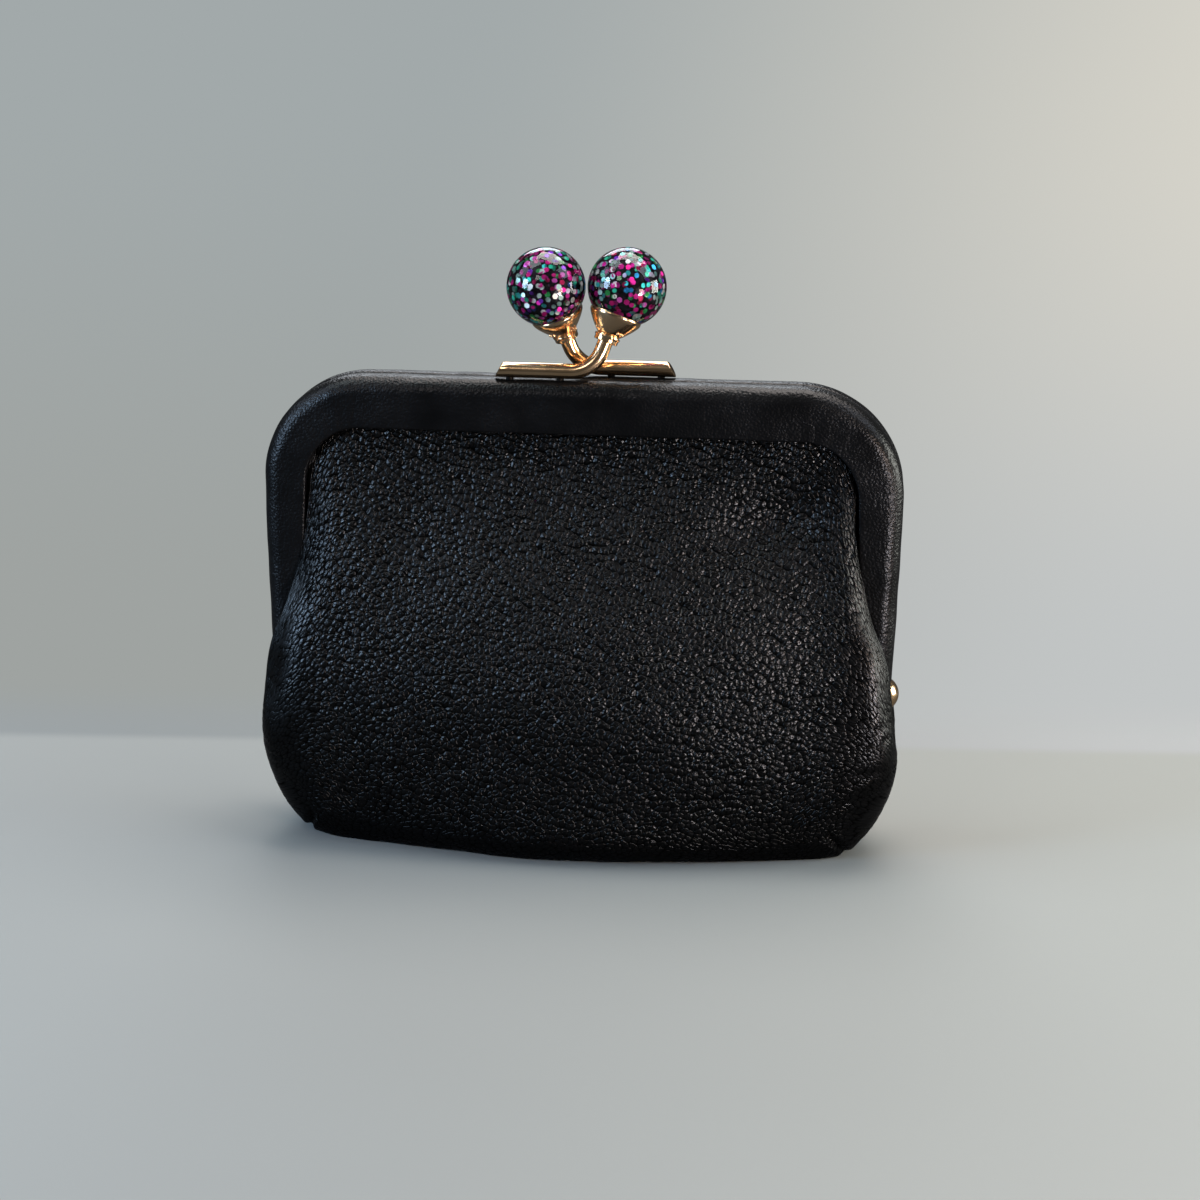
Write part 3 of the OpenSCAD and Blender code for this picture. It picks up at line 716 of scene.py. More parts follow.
@dataclass(frozen=True)
class FramePath:
    """The band of a frame half seen from the front.

    A place along it is a number p: 0 the middle of the top, 1 the start of the corner, 2 its end and 3 the
    foot of the leg, negative on the left. All sizes are in millimetres.
    """

    width: float = 122.0
    top: float = 92.0
    hinge_drop: float = 60.0
    corner_r: float = 20.5
    inner_corner_r: float = 11.0
    band_top: float = 9.9
    band_side: float = 8.4
    band_foot: float = 6.2
    leg_lean: float = 0.7
    ear_r: float = 3.0
    foot_gap: float = 0.6

    @property
    def hinge_z(self) -> float:
        """Returns the height of the hinge axis."""
        return self.top - self.hinge_drop

    @property
    def foot_z(self) -> float:
        """Returns the height of the foot of a leg."""
        return self.hinge_z + self.ear_r + self.foot_gap

    @property
    def foot_x(self) -> float:
        """Returns how far from the middle the inner edge of a foot is."""
        return self.width / 2 - self.leg_lean - self.band_foot

    def outer(self, p: np.ndarray) -> np.ndarray:
        """Outer edge: straight top, quarter circle, then a slow arc that leans in.

        Args:
            p: places along the frame.

        Returns:
            Rows [x, z].
        """
        a = np.abs(p)
        cx, cz = self.width / 2 - self.corner_r, self.top - self.corner_r
        high = cz - self.foot_z
        arc = (high**2 + self.leg_lean**2) / (2 * self.leg_lean)
        turn, slow = np.pi / 2 * (a - 1), math.asin(high / arc) * (a - 2)
        corner_x, corner_z = cx + self.corner_r * np.sin(turn), cz + self.corner_r * np.cos(turn)
        leg_x, leg_z = self.width / 2 - arc + arc * np.cos(slow), cz - arc * np.sin(slow)
        x = np.where(a <= 1, a * cx, np.where(a <= 2, corner_x, leg_x))
        z = np.where(a <= 1, self.top, np.where(a <= 2, corner_z, leg_z))
        return np.stack([np.where(p < 0, -x, x), z], -1)

    def inner(self, p: np.ndarray) -> np.ndarray:
        """Inner edge: straight top, quarter circle, then a straight line to the foot.

        Args:
            p: places along the frame.

        Returns:
            Rows [x, z].
        """
        a = np.abs(p)
        half = self.width / 2 - self.band_side
        cx, cz = half - self.inner_corner_r, self.top - self.band_top - self.inner_corner_r
        turn = np.pi / 2 * (a - 1)
        corner_x, corner_z = cx + self.inner_corner_r * np.sin(turn), cz + self.inner_corner_r * np.cos(turn)
        leg_x, leg_z = half + (self.foot_x - half) * (a - 2), cz + (self.foot_z - cz) * (a - 2)
        x = np.where(a <= 1, a * cx, np.where(a <= 2, corner_x, leg_x))
        z = np.where(a <= 1, self.top - self.band_top, np.where(a <= 2, corner_z, leg_z))
        return np.stack([np.where(p < 0, -x, x), z], -1)

    def inward(self, p: np.ndarray) -> np.ndarray:
        """Unit vector from the outer edge into the band, level along the legs.

        Args:
            p: places along the frame.

        Returns:
            Rows [x, z].
        """
        a = np.clip(np.abs(p), 1, 2)
        turn = np.pi / 2 * (a - 1)
        return np.stack([np.where(p < 0, np.sin(turn), -np.sin(turn)), -np.cos(turn)], -1)

    def place(self, p: np.ndarray, section: np.ndarray) -> np.ndarray:
        """Carries a section along the band.

        Args:
            p: places along the frame, shape (m,).
            section: rows [q, distance, edge], shape (n, 3); edge 0 measures in from the outer edge and edge 1
                out from the inner edge.

        Returns:
            Points of the front half, shape (m, n, 3).
        """
        inward = self.inward(p)[:, None]
        from_outer = self.outer(p)[:, None] + inward * section[None, :, 1, None]
        from_inner = self.inner(p)[:, None] - inward * section[None, :, 1, None]
        xz = np.where(section[None, :, 2, None] == 0, from_outer, from_inner)
        q = np.broadcast_to(section[None, :, 0], xz.shape[:2])
        return np.stack([xz[..., 0], -q, xz[..., 1]], -1)


def frame_places(top: int, corner: int, leg: int) -> np.ndarray:
    """Places from the right foot over the top to the left foot.

    Args:
        top: steps on each half of the top.
        corner: steps round a corner.
        leg: steps down a leg.

    Returns:
        The places, from 3 to -3.
    """
    right = np.concatenate([np.linspace(start, start - 1, steps, endpoint=False)
                            for start, steps in ((3, leg), (2, corner), (1, top))])
    return np.concatenate([right, [0.0], -right[::-1]])


@dataclass
class FrameCover:
    """The leather wrapped round the steel channel of one half, with its padded front shoulder.

    Attributes:
        mouth_gap: distance of its back from the plane y = 0.
        front_q: distance of its front from that plane.
        lip: depth of the turned-in edge at the slot.
        back_lip_q: where the slot begins.
        front_lip_q: where it ends.
        wander: size of its slow unevenness.
        gather: height of the gathers at the inner corners.
        gather_pitch: distance between two gathers.
        most_out: the most that the skin moves outwards.
    """

    half: Half
    path: FramePath
    mouth_gap: float = 0.15
    front_q: float = 5.8
    shoulder_r: float = 2.5
    back_edge_r: float = 1.0
    thickness: float = 0.75
    lip: float = 0.45
    back_lip_q: float = 1.5
    front_lip_q: float = 4.1
    nose_r: float = 0.4
    crown_r: float = 3.3
    steps: tuple[int, int, int] = (70, 34, 44)
    wander: float = 0.045
    gather: float = 0.05
    gather_pitch: float = 2.3
    most_out: float = 0.03

    def section(self) -> tuple[np.ndarray, np.ndarray]:
        """The outside and the inside of the leather in a cut across the band, matched point by point.

        The outside runs from the slot over the back, the back edge, the top, the shoulder and the front to
        the slot again; its corners are quarter circles.

        Returns:
            Two arrays of rows [q, distance, edge].
        """
        def arc(r: float, start: float, end: float, q: float, s: float, n: int) -> np.ndarray:
            """Points of a circle of radius r about (q, s), measured from the outer edge."""
            a = np.radians(np.linspace(start, end, n))
            return np.stack([q + r * np.cos(a), s + r * np.sin(a), np.zeros(n)], -1)

        g, t, low, high = self.mouth_gap, self.thickness, 0.6 * self.lip, 1.6 * self.lip
        back_q, shoulder_q = g + self.back_edge_r, self.front_q - self.shoulder_r
        nose = np.radians(np.linspace(0, 90, 5))
        nose_out = np.stack([self.front_q - self.nose_r * (1 - np.cos(nose)),
                             self.nose_r * (1 - np.sin(nose)), np.ones(5)], -1)
        outside = np.concatenate([
            [[g + 0.2, 0, 1], [g, low, 1], [g, high, 1]],
            arc(self.back_edge_r, 180, 270, back_q, self.back_edge_r, 6),
            arc(self.crown_r, 270, 360, self.front_q - self.crown_r, self.crown_r, 14),
            [[self.front_q, high + 1.2, 1], [self.front_q, high + 0.4, 1]], nose_out,
        ])
        inside = np.concatenate([
            [[self.back_lip_q, 0, 1], [self.back_lip_q, self.lip, 1], [g + t, self.lip, 1]],
            arc(self.back_edge_r - t, 180, 270, back_q, self.back_edge_r, 6),
            arc(self.shoulder_r - t, 270, 360, shoulder_q, self.shoulder_r, 14),
            [[self.front_q - t, high + 1.2, 1], [self.front_q - t, self.lip, 1]],
            np.stack([np.linspace(self.front_q - t, self.front_lip_q, 5), np.linspace(self.lip, 0, 5),
                      np.ones(5)], -1),
        ])
        return outside, inside

    def build(self, leather: bpy.types.Material) -> bpy.types.Object:
        """Sweeps the section, lets the skin wander by a few hundredths and gathers it at the inner corners.

        Args:
            leather: material of the cover.

        Returns:
            The piece.
        """
        p = frame_places(*self.steps)
        outside, inside = self.section()
        h = len(outside)
        loop = np.concatenate([outside, inside[::-1]])
        points = self.path.place(p, loop)
        skin = points[:, :h]
        along = np.gradient(skin, axis=0)
        around = np.gradient(skin, axis=1)
        normal = np.cross(along, around)
        normal /= np.linalg.norm(normal, axis=-1, keepdims=True) + 1e-9
        normal *= np.sign(np.mean(normal[:, h // 2, 1]))
        seed = 11 if self.half is Half.FRONT else 12
        wander = self.wander * soft_noise(skin, 6, 22, seed)
        near_lip = np.exp(-((np.arange(h) - (h - 6)) / 4.0) ** 2)[None]
        at_corner = np.exp(-((np.abs(p) - 1.5) / 0.55) ** 4)[:, None]
        run = np.cumsum(np.r_[0, np.linalg.norm(np.diff(self.path.inner(p), axis=0), axis=1)])[:, None]
        wave = np.sin(2 * np.pi * run / self.gather_pitch + 1.7 * np.sin(run / 3.1))
        gathers = self.gather * wave * near_lip * at_corner
        points[:, :h] -= normal * np.minimum(wander + gathers, self.most_out)[..., None]
        if self.half is Half.REAR:
            points[..., 1] *= -1
        m, n = len(p), 2 * h
        faces = grid_quads(m, n, wrap_cols=True).tolist()
        for base in (0, (m - 1) * n):
            faces += [[base + j, base + j + 1, base + n - 2 - j, base + n - 1 - j] for j in range(h - 1)]
        node = f"{self.half.prefix}_frame_cover"
        piece = make_piece(f"{node}_leather", points, faces, leather, self.half.body, 40)
        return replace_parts(piece, node)


# Pouch


@dataclass(frozen=True)
class Dent:
    """A soft hollow or, with negative depth, a soft swelling of the leather."""

    x: float
    z: float
    wide: float
    high: float
    depth: float
    turn: float = 0.0

    def offset(self, points: np.ndarray) -> np.ndarray:
        """Outward shift: minus the depth times a bell in the turned front view.

        Args:
            points: places on the leather.

        Returns:
            The shift of each.
        """
        c, s = math.cos(math.radians(self.turn)), math.sin(math.radians(self.turn))
        dx, dz = points[..., 0] - self.x, points[..., 2] - self.z
        u, v = (c * dx + s * dz) / self.wide, (-s * dx + c * dz) / self.high
        return -self.depth * np.exp(-0.5 * (u * u + v * v))


@dataclass(frozen=True)
class Crease:
    """A narrow fold between two places of the front view, faded at both ends."""

    start: tuple[float, float]
    end: tuple[float, float]
    width: float
    depth: float

    def offset(self, points: np.ndarray) -> np.ndarray:
        """Outward shift: a valley with a low ridge on either side of the line, faded at its ends.

        Args:
            points: places on the leather.

        Returns:
            The shift of each.
        """
        a, b = np.array(self.start), np.array(self.end)
        way = b - a
        length = np.linalg.norm(way)
        rel = np.stack([points[..., 0], points[..., 2]], -1) - a
        t = rel @ way / length**2
        d = (rel[..., 0] * way[1] - rel[..., 1] * way[0]) / length / self.width
        fade = smoothstep((t + 0.15) / 0.35) * smoothstep((1.15 - t) / 0.35)
        return fade * self.depth * (-np.exp(-0.5 * d * d) + 0.35 * np.exp(-0.5 * (d / 2.4) ** 2))


@dataclass
class Pouch:
    """The leather and the lining of one half of the pouch, hung from the frame and sewn to the other half.

    Attributes:
        width: width that the handles of the side seams are set from.
        base_w: width at the foot.
        depth: greatest depth of both halves together.
        base_depth: their depth at the foot.
        seam_lift: height of the bottom seam.
        seam_drop: how far the side seam starts below the hinge.
        seam_out: how far it starts outside the foot of the leg.
        side_height: height of the side seam's lower handle.
        side_swell: how far that handle lies outside the width.
        slot_q: distance of the slot from the plane y = 0.
        front_q: distance of the front of the frame from it.
        tuck: distance of the edge in the slot from the outer edge of the frame.
        seam_gap: distance of the seam from the plane y = 0.
        fold_room: how far inner faces stay off the legs of the frame.
        fold_widening: what this limit gains below the frame.
        blend_reach: share of a column over which a sheet would bend from the frame to the pouch; not used.
        leg_blend_reach: the same for the lining beside the legs; not used.
    """

    half: Half
    path: FramePath
    width: float = 123.6
    base_w: float = 107.0
    depth: float = 38.0
    base_depth: float = 35.6
    seam_lift: float = 1.2
    seam_drop: float = 2.4
    seam_out: float = 0.6
    side_height: float = 12.0
    side_swell: float = 3.8
    slot_q: float = 3.95
    front_q: float = 5.8
    tuck: float = 3.3
    seam_gap: float = 0.06
    leather_t: float = 1.1
    lining_gap: float = 0.15
    lining_t: float = 0.4
    fold_room: float = 1.6
    fold_widening: float = 14.0
    blend_reach: float = 0.9
    leg_blend_reach: float = 0.45

    def seam(self, p: np.ndarray) -> np.ndarray:
        """Where a column ends: on the bottom seam below the top of the frame, on the side seam below the leg.

        The side seam is a cubic curve from under the hinge to the bottom corner.

        Args:
            p: places along the frame.

        Returns:
            Rows [x, z].
        """
        a = np.abs(p)
        path, half = self.path, self.width / 2
        k = np.array([[path.foot_x + self.seam_out, path.hinge_z - self.seam_drop],
                      [half - 0.6, path.hinge_z - self.seam_drop - 0.6],
                      [half + self.side_swell, self.side_height], [self.base_w / 2, self.seam_lift]])
        side_share, corner_share, straight = 0.8, 0.45, self.base_w / 2 * 0.82
        t = np.where(a <= 2, mix(1, side_share, (a - 2 + corner_share) / corner_share), side_share * (3 - a))
        t = np.clip(t, 0, 1)[..., None]
        side = (1 - t) ** 3 * k[0] + 3 * t * (1 - t) ** 2 * k[1] + 3 * t * t * (1 - t) * k[2] + t**3 * k[3]
        x = np.where(a <= 1, straight * a, mix(straight, self.base_w / 2, (a - 1) / (1 - corner_share)))
        base = np.stack([x, np.full_like(x, self.seam_lift)], -1)
        out = np.where((a <= 2 - corner_share)[..., None], base, side)
        out[..., 0] = np.where(p < 0, -out[..., 0], out[..., 0])
        return out

    def knots(self, p: np.ndarray) -> np.ndarray:
        """How each column hangs, from the slot to the seam.

        Five tables stand for the middle, the shoulder, the corner, the leg and the foot; columns between two
        of them blend them.

        Args:
            p: places along the frame.

        Returns:
            For each column, rows [share of the way to the seam, distance outwards, distance q].
        """
        f, s, bulge, low = self.front_q, self.slot_q, self.depth / 2, self.base_depth / 2

        def drop(d: float, b: float) -> np.ndarray:
            """A column that falls to the ground and runs under the pouch."""
            return np.array([[0, 0, s], [0.08, 0, s + 0.9], [0.25, 0, d * 0.5], [0.45, 0, d * 0.78],
                             [0.65, 0, d * 0.96], [0.85, 0, mix(d, b, 0.2)], [0.975, 0, b],
                             [1.03, 0, b * 0.62], [1, 0, self.seam_gap]])

        middle, shoulder = drop(bulge, low), drop(bulge * 0.78, low * 0.57)
        corner = np.array([[0, 0, s], [0.03, -0.8, f + 0.4], [0.2, 0.4, f + 3], [0.4, 1.5, bulge * 0.61],
                           [0.6, 2.0, bulge * 0.71], [0.78, 2.2, bulge * 0.66], [0.93, 1.8, bulge * 0.44],
                           [1, 0.8, bulge * 0.2], [1, 0, self.seam_gap]])
        leg = np.array([[0, 0, s], [0.01, -1.1, f + 0.6], [0.083, 1.6, f + 2.4], [0.25, 3.3, f + 3.8],
                        [0.5, 3.2, f + 4.2], [0.75, 2.0, f + 3], [0.9, 1.4, f + 0.8],
                        [0.975, 0.8, f - 2.6], [1, 0, self.seam_gap]])
        foot = np.array([[0, 0, s], [0.01, -1.1, f + 0.6], [0.12, -0.9, f + 0.9], [0.3, -0.2, f + 0.4],
                         [0.48, 0.3, f - 0.5], [0.64, 0.4, f - 1.6], [0.79, 0.35, f - 2.8],
                         [0.92, 0.2, f - 4.2], [1, 0, self.seam_gap]])
        a = np.abs(p)[:, None, None]
        leg_place = 2.65
        blends = [mix(middle, shoulder, a * a), mix(shoulder, corner, smoothstep(a - 1)),
                  mix(corner, leg, smoothstep((a - 2) / (leg_place - 2)))]
        last = mix(leg, foot, smoothstep((a - leg_place) / (3 - leg_place)))
        return np.select([a <= 1, a <= 2, a <= leg_place], blends, last)

    def hang(self, p: np.ndarray, t: np.ndarray) -> np.ndarray:
        """The outer face of the front leather, eased so that no table shows as an edge.

        Each column runs from the slot to its seam as its knots say. Away from slot, seam and feet the grid is
        then blurred, and once more along the frame beside the upper part of the legs.

        Args:
            p: places along the frame.
            t: shares of each column's knots, from 0 at the slot to 1 at the seam.

        Returns:
            Points, shape (columns, rows, 3).
        """
        k = through_knots(self.knots(p), t)
        start, end = self.path.inner(p)[:, None], self.seam(p)[:, None]
        way = end - start
        side = np.where(p < 0, -1.0, 1.0)[:, None]
        x = start[..., 0] + way[..., 0] * k[..., 0] + side * k[..., 1]
        z = start[..., 1] + way[..., 1] * k[..., 0]
        points = np.stack([x, -np.maximum(k[..., 2], self.seam_gap), z], -1)
        free = smoothstep((t - 0.1) / 0.2) * smoothstep((0.97 - t) / 0.12)
        calm = smoothstep((2.75 - np.abs(p)) / 0.5)
        share = (free[None] * calm[:, None])[..., None]
        # The widths of the blurs are in steps of a sheet of 263 by 138 points.
        columns, rows = len(p) / 263, len(t) / 138
        soft = blurred(blurred(points, 7.0 * columns, 0), 3.0 * rows, 1)
        upright = smoothstep((np.abs(p) - 1.1) / 0.4) * smoothstep((2.85 - np.abs(p)) / 0.25)
        upright = upright[:, None, None] * smoothstep((points[..., 2:] - 38) / 14)
        soft = mix(soft, blurred(soft, 12.0 * columns, 0), upright)
        points = mix(points, soft, share)
        points[..., 2] = np.maximum(points[..., 2], 0.0)
        return self.soften_folds(points)

    def soften_folds(self, points: np.ndarray) -> np.ndarray:
        """Rounds the upright fold where the leather turns back beside each leg of the frame.

        The depth beyond a base is multiplied by 1 - c exp(-(e / w)²), with e the distance inwards from the
        widest place at that height. The base keeps the leather in front of the leg where it lies over it.

        Args:
            points: the outer face.

        Returns:
            The same points with softer folds.
        """
        x, z = np.abs(points[..., 0]), points[..., 2]
        levels = np.arange(0.0, 92.0, 2.0)
        edge = np.array([x[np.abs(z - level) < 1.5].max(initial=0.0) for level in levels])
        inwards = np.interp(z, levels, edge) - x
        left = points[..., 0] < 0
        share, reach = np.where(left, 0.55, 0.3), np.where(left, 3.8, 2.2)
        base = mix(self.front_q + 0.4, self.slot_q, smoothstep((z - 46) / 8))
        cut = share * np.exp(-((inwards / reach) ** 2)) * smoothstep((z - 20) / 18)
        q = -points[..., 1]
        points[..., 1] = -np.where(q > base, base + (q - base) * (1 - cut), q)
        return points

    def normals(self, points: np.ndarray) -> np.ndarray:
        """Returns outward unit vectors of a grid, from the steps along it and across it."""
        n = np.cross(np.gradient(points, axis=0), np.gradient(points, axis=1))
        return n / (np.linalg.norm(n, axis=-1, keepdims=True) + 1e-9)

    def folds(self) -> list[Dent | Crease]:
        """Returns the hollows, swellings, darts and wrinkles of this half, as places of the front view."""
        darts = [Crease((53.0, 0.5), (49.2, 6.6), 0.5, 1.2), Crease((-53.4, 0.5), (-51.4, 5.6), 0.5, 1.2)]
        if self.half is Half.REAR:
            return darts + [Dent(-30, 58, 9, 8, 0.5, 20), Dent(33, 52, 12, 9, 0.45, -15),
                            Dent(5, 30, 22, 10, -0.5), Crease((40, 24), (52, 28), 0.9, 0.2),
                            Crease((-52, 20), (-41, 16), 0.9, 0.22), Dent(46, 70, 4, 3, 0.5, 40)]
        return darts + [
            Dent(40.0, 70.5, 7.5, 5.0, 2.3, 38), Dent(33.0, 66.5, 9.0, 5.0, 0.7, 30),
            Dent(-40.5, 60.0, 5.5, 14.0, -1.0, 0), Dent(-33.0, 62.0, 8.0, 8.0, 0.35, -30),
            Dent(14.0, 40.0, 24.0, 13.0, -0.55), Dent(47.5, 58.0, 3.0, 9.0, 0.5, -12),
            Crease((57.5, 26.5), (47.0, 23.5), 0.8, 0.28), Crease((59.5, 20.5), (49.5, 18.6), 0.7, 0.3),
            Crease((59.0, 14.5), (50.5, 13.6), 0.65, 0.26), Crease((56.5, 33.0), (49.0, 29.5), 0.7, 0.2),
            Crease((-59.0, 18.0), (-50.0, 15.5), 0.7, 0.2), Crease((-58.0, 12.0), (-50.0, 10.5), 0.65, 0.2),
            Crease((-44.0, 4.0), (-30.0, 3.0), 0.8, 0.15),
        ]

    def relief(self, points: np.ndarray, p: np.ndarray, t: np.ndarray) -> np.ndarray:
        """How far each point of the outer face moves outwards.

        Slow noise, plus the named folds, plus fine level wrinkles that grow towards the side seams; all fade
        out in the slot and at the seam.

        Args:
            points: the outer face.
            p: places along the frame.
            t: shares of each column.

        Returns:
            The shift of each point.
        """
        seed = 21 if self.half is Half.FRONT else 22
        slow = 0.13 * soft_noise(points, 16, 40, seed) + 0.025 * soft_noise(points, 5, 11, seed + 7)
        named = sum(fold.offset(points) for fold in self.folds())
        at_side = smoothstep((np.abs(points[..., 0]) - 46) / 14) * smoothstep((40 - points[..., 2]) / 14)
        wave = np.sin(2 * np.pi * points[..., 2] / 2.6 + 2.2 * soft_noise(points, 6, 14, seed + 3, 12))
        level = 0.07 * wave * at_side * (0.6 + 0.4 * soft_noise(points, 5, 9, seed + 5, 12))
        out_of_slot = smoothstep((t - 0.08) / 0.16)
        fade, dart_fade = (out_of_slot * smoothstep((1.0 - t) / reach) for reach in (0.07, 0.02))
        quiet = smoothstep((3.02 - np.abs(p)) / 0.35)[:, None]
        return (slow + level) * fade[None] * quiet + named * dart_fade[None] * quiet

    def sheet(self, p: np.ndarray, t: np.ndarray, depth: float, thickness: float) -> tuple[np.ndarray, list]:
        """A sheet of some thickness at a depth under the outer face, closed along all its edges.

        Args:
            p: places along the frame.
            t: shares of each column.
            depth: depth of its outer face.
            thickness: its thickness.

        Returns:
            Points and faces of the sheet.
        """
        grid = self.hang(p, t)
        grid = grid + self.normals(grid) * self.relief(grid, p, t)[..., None]
        slot = self.path.place(p, np.array([[self.slot_q, self.tuck, 0.0]]))
        grid = np.concatenate([slot, grid], 1)
        normal = blurred(self.normals(grid), 1.2, 1)
        normal /= np.linalg.norm(normal, axis=-1, keepdims=True)
        normal[:, 0] = (0.0, -1.0, 0.0)
        skins = []
        for d in (depth, depth + thickness):
            face = grid - normal * d
            if d > 0:
                face = self.inside_folds(face, t, d)
            face[:, 0, 1] = -self.slot_q + d
            face[:, 1:, 1] = np.minimum(face[:, 1:, 1], -self.seam_gap)
            face[..., 2] = np.maximum(face[..., 2], d)
            skins.append(face)
        points = np.stack(skins)
        m, n = grid.shape[:2]
        count = m * n
        faces = [grid_quads(m, n), grid_quads(m, n, count)[:, ::-1]]
        first, last = np.arange(n - 1), (m - 1) * n + np.arange(n - 1)
        top, seam = np.arange(m - 1) * n, np.arange(m - 1) * n + n - 1
        for start, step in ((first, 1), (last, 1), (top, n), (seam, n)):
            faces.append(np.stack([start, start + step, start + step + count, start + count], -1))
        return points, np.concatenate(faces).tolist()

    def inside_folds(self, face: np.ndarray, t: np.ndarray, depth: float) -> np.ndarray:
        """Keeps an inner face out of the folds beside the legs, which are too narrow to hold it.

        Its distance from the middle is at most that of the leg's inner edge less the fold's room and the
        depth. This limit widens with the pouch below the foot of the frame, and is lifted at the slot.

        Args:
            face: points of the face.
            t: shares of each column.
            depth: how deep it lies under the outer face.

        Returns:
            The face, drawn in where it is too wide.
        """
        legs = self.path.inner(np.linspace(2.0, 3.0, 40))
        order = np.argsort(legs[:, 1])
        x, z = face[..., 0], face[..., 2]
        limit = np.interp(z, legs[order, 1], np.abs(legs[order, 0])) - self.fold_room - depth
        limit = limit + self.fold_widening * smoothstep((self.path.hinge_z + 4 - z) / 16)
        lift, slot_share = 8, 0.035
        limit = limit + lift * (1 - smoothstep(np.concatenate([[0.0], t]) / slot_share))
        face = face.copy()
        face[..., 0] = np.clip(x, -limit, limit)
        return face

    def hide_places(self, p: np.ndarray, t: np.ndarray) -> np.ndarray:
        """Where each point of a sheet lies on the hide, in millimetres, and how flat it is drawn there.

        Both places are lengths summed along the skin, the first along a row from the middle column and the
        second down a column. Near the side and bottom seams, where the grain is drawn out level, the first
        runs slower and the second faster, and the relief is drawn flat.

        Args:
            p: places along the frame.
            t: shares of each column.

        Returns:
            Rows [across, down, flat share] for both skins of the sheet.
        """
        grid = self.hang(p, t)
        grid = np.concatenate([grid[:, :1] + np.array([0, 0, self.tuck]), grid], 1)
        side = smoothstep((np.abs(grid[..., 0]) - 40) / 16) * smoothstep((44 - grid[..., 2]) / 22)
        drawn = np.maximum(side, 0.7 * smoothstep((9 - grid[..., 2]) / 9))
        slower, faster = 0.15, 0.45
        across = np.linalg.norm(np.diff(grid, axis=0), axis=-1) * (1 - slower * drawn[1:])
        across = np.concatenate([np.zeros_like(across[:1]), np.cumsum(across, axis=0)])
        across -= across[len(p) // 2][None]
        down = np.linalg.norm(np.diff(grid, axis=1), axis=-1) * (1 + faster * drawn[:, 1:])
        down = np.concatenate([np.zeros_like(down[:, :1]), np.cumsum(down, axis=1)], 1)
        flat = smoothstep((np.abs(grid[..., 0]) - 47) / 9) * smoothstep((66 - grid[..., 2]) / 20)
        flat = np.maximum(flat, smoothstep((8 - grid[..., 2]) / 8))
        places = np.stack([across, down, flat], -1)
        return np.concatenate([places.reshape(-1, 3)] * 2).astype(np.float32)

    def follow(self, piece: bpy.types.Object) -> None:
        """Bakes the piece's place into its points; it does not bend with the frame.

        Args:
            piece: the leather or the lining.
        """
        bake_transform(piece)

    def build(self, leather: bpy.types.Material, cloth: bpy.types.Material) -> list[bpy.types.Object]:
        """Makes the leather and the lining.

        Args:
            leather: material of the outside.
            cloth: material of the lining.

        Returns:
            Both pieces.
        """
        pieces = []
        # Each layer: node, piece, material, slot, steps along the frame, rows, depth, thickness, leg reach.
        layers = (("panel", "skin", leather, "pebbled_leather", (54, 34, 44), 138,
                   0.0, self.leather_t, self.blend_reach),
                  ("lining", "cloth", cloth, "lining_fabric", (27, 20, 24), 80,
                   self.leather_t + self.lining_gap, self.lining_t, self.leg_blend_reach))
        for part, word, material, slot, steps, rows, depth, thickness, reach in layers:
            p = frame_places(*steps)
            t = np.linspace(0, 1, rows)
            points, faces = self.sheet(p, t, depth, thickness)
            if self.half is Half.REAR:
                points[..., 1] *= -1
            node = f"{self.half.prefix}_{part}"
            piece = make_piece(f"{node}_{word}", points, faces, material, None, 55)
            hide = piece.data.attributes.new("hide", "FLOAT_VECTOR", "POINT")
            hide.data.foreach_set("vector", self.hide_places(p, t).ravel())
            self.follow(piece)
            pieces.append(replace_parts(piece, node))
        return pieces


# Clasp


